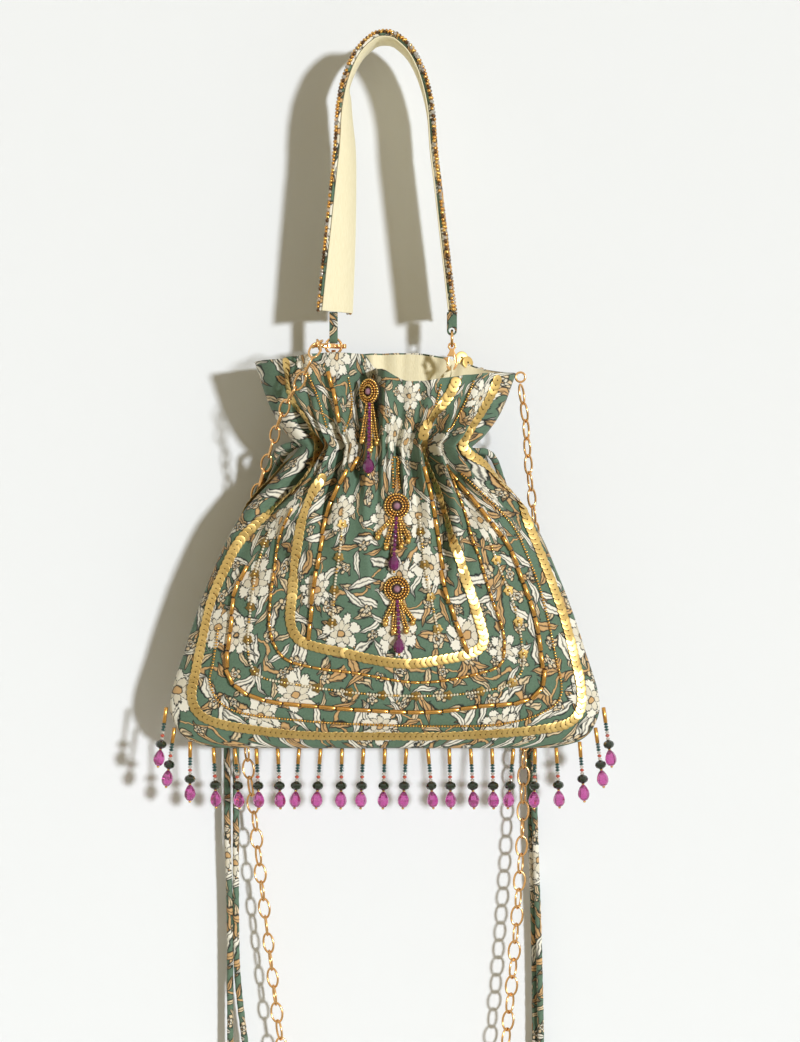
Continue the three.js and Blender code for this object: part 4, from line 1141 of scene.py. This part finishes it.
def rounded_copy(node, bevel, material, body, levels=0):
    """A copy of a CAD solid with soft edges that stands for it."""
    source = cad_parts[node]
    mesh = source.data.copy()
    mesh.materials.clear()
    mesh.materials.append(material)
    mesh.polygons.foreach_set("use_smooth", [True] * len(mesh.polygons))
    obj = bpy.data.objects.new(f"{node}_detail", mesh)
    bpy.context.collection.objects.link(obj)
    weld = obj.modifiers.new("weld", "WELD")
    weld.merge_threshold = 0.01 * MM
    if bevel:
        soften = obj.modifiers.new("soft_edges", "BEVEL")
        soften.width = bevel * MM
        soften.segments = 3
        soften.limit_method = "ANGLE"
        soften.angle_limit = math.radians(35)
        soften.harden_normals = True
    if levels:
        obj.modifiers.new("smooth", "SUBSURF").render_levels = levels
    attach(obj, body)
    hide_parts(node)


def ring_piece(node, wire, body):
    low, high = (np.array(c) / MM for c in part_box(node))
    size = high - low
    radius = (max(size) - wire) / 2
    batch = Batch(ROSE_GOLD)
    across = np.array([1, 0, 0]) if size[0] > size[1] else np.array([0, 1, 0])
    up = np.array([0, 0, 1])
    ring = wire_loop(radius, radius, wire, 36, 12)
    batch.add(ring, ((low + high) / 2, across, np.cross(up, across), up), ROSE_GOLD)
    piece = batch.build(f"{node}_detail", body)
    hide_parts(node)


ring_piece("ring_left", HANDLE_RING_WIRE, "bag")
ring_piece("ring_right", HANDLE_RING_WIRE, "handle")
ring_piece("chain_ring", CHAIN_RING_WIRE, "bag")
for fitting in ("clasp_left", "clasp_right", "chain_clasp"):
    rounded_copy(fitting, 0.7, ROSE_GOLD, "bag", 1)
for lever in ("clasp_lever_left", "clasp_lever_right", "chain_clasp_lever"):
    rounded_copy(lever, 0.3, ROSE_GOLD, lever)
for loop in ("clasp_loop_left", "clasp_loop_right"):
    rounded_copy(loop, 0, CREAM, "bag", 2)
for tab in ("handle_tab_left", "handle_tab_right"):
    rounded_copy(tab, 0.4, PRINT_TAB, "handle")


# Stage, light and camera

def plain_material(name, colour, see_through_back=False):
    nodes = Nodes(name)
    nodes.set(Base_Color=colour, Roughness=0.9)
    if see_through_back:
        geometry = nodes.node("ShaderNodeNewGeometry")
        clear = nodes.node("ShaderNodeBsdfTransparent")
        shown = {0: geometry.outputs["Backfacing"], 1: nodes.shader.outputs[0], 2: clear.outputs[0]}
        mixed = nodes.node("ShaderNodeMixShader", shown)
        nodes.put(nodes.tree.nodes["Material Output"].inputs["Surface"], mixed.outputs[0])
    return nodes.material


def stage_plane(name, corners, material):
    mesh = bpy.data.meshes.new(name)
    mesh.from_pydata([tuple(c * MM for c in corner) for corner in corners], [], [(0, 1, 2, 3)])
    mesh.materials.append(material)
    obj = bpy.data.objects.new(name, mesh)
    bpy.context.collection.objects.link(obj)


wall_paint = plain_material("pale_wall", srgb(240, 243, 246), True)
stage_plane("wall", [(-WALL_HALF, WALL_Y, FLOOR_Z), (WALL_HALF, WALL_Y, FLOOR_Z),
                     (WALL_HALF, WALL_Y, WALL_TOP), (-WALL_HALF, WALL_Y, WALL_TOP)], wall_paint)
floor_paint = plain_material("pale_floor", srgb(240, 239, 234))
stage_plane("floor", [(-FLOOR_HALF, -FLOOR_HALF, FLOOR_Z), (FLOOR_HALF, -FLOOR_HALF, FLOOR_Z),
                      (FLOOR_HALF, FLOOR_HALF, FLOOR_Z), (-FLOOR_HALF, FLOOR_HALF, FLOOR_Z)], floor_paint)


def lights():
    """A small cool key from the right and a dim warm fill, brighter in what metal and glass mirror."""
    key = bpy.data.lights.new("key", "SUN")
    key.energy = KEY_ENERGY
    key.angle = math.radians(KEY_SPREAD)
    key.color = KEY_COLOUR
    lamp = bpy.data.objects.new("key", key)
    lamp.rotation_mode = "QUATERNION"
    lamp.rotation_quaternion = Vector(KEY_TOWARDS).to_track_quat("-Z", "Y")
    bpy.context.collection.objects.link(lamp)
    world = bpy.data.worlds.new("studio")
    bpy.context.scene.world = world
    world.use_nodes = True
    tree = world.node_tree
    fill = tree.nodes["Background"]
    fill.inputs["Color"].default_value = FILL_COLOUR
    fill.inputs["Strength"].default_value = FILL_STRENGTH
    mirrored = tree.nodes.new("ShaderNodeBackground")
    mirrored.inputs["Color"].default_value = MIRRORED_COLOUR
    mirrored.inputs["Strength"].default_value = MIRRORED_STRENGTH
    path = tree.nodes.new("ShaderNodeLightPath")
    mixed = tree.nodes.new("ShaderNodeMixShader")
    tree.links.new(path.outputs["Is Glossy Ray"], mixed.inputs[0])
    tree.links.new(fill.outputs[0], mixed.inputs[1])
    tree.links.new(mirrored.outputs[0], mixed.inputs[2])
    tree.links.new(mixed.outputs[0], tree.nodes["World Output"].inputs["Surface"])


def camera():
    data = bpy.data.cameras.new("camera")
    data.sensor_fit = "VERTICAL"
    data.angle_y = 2 * math.atan(VIEW_HEIGHT / 2 / -CAMERA_AT[1])
    data.clip_end = 20
    obj = bpy.data.objects.new("camera", data)
    obj.location = Vector(CAMERA_AT) * MM
    obj.rotation_euler = (math.radians(90), 0, 0)
    bpy.context.collection.objects.link(obj)
    bpy.context.scene.camera = obj


lights()
camera()
bpy.context.scene.view_settings.view_transform = "Standard"
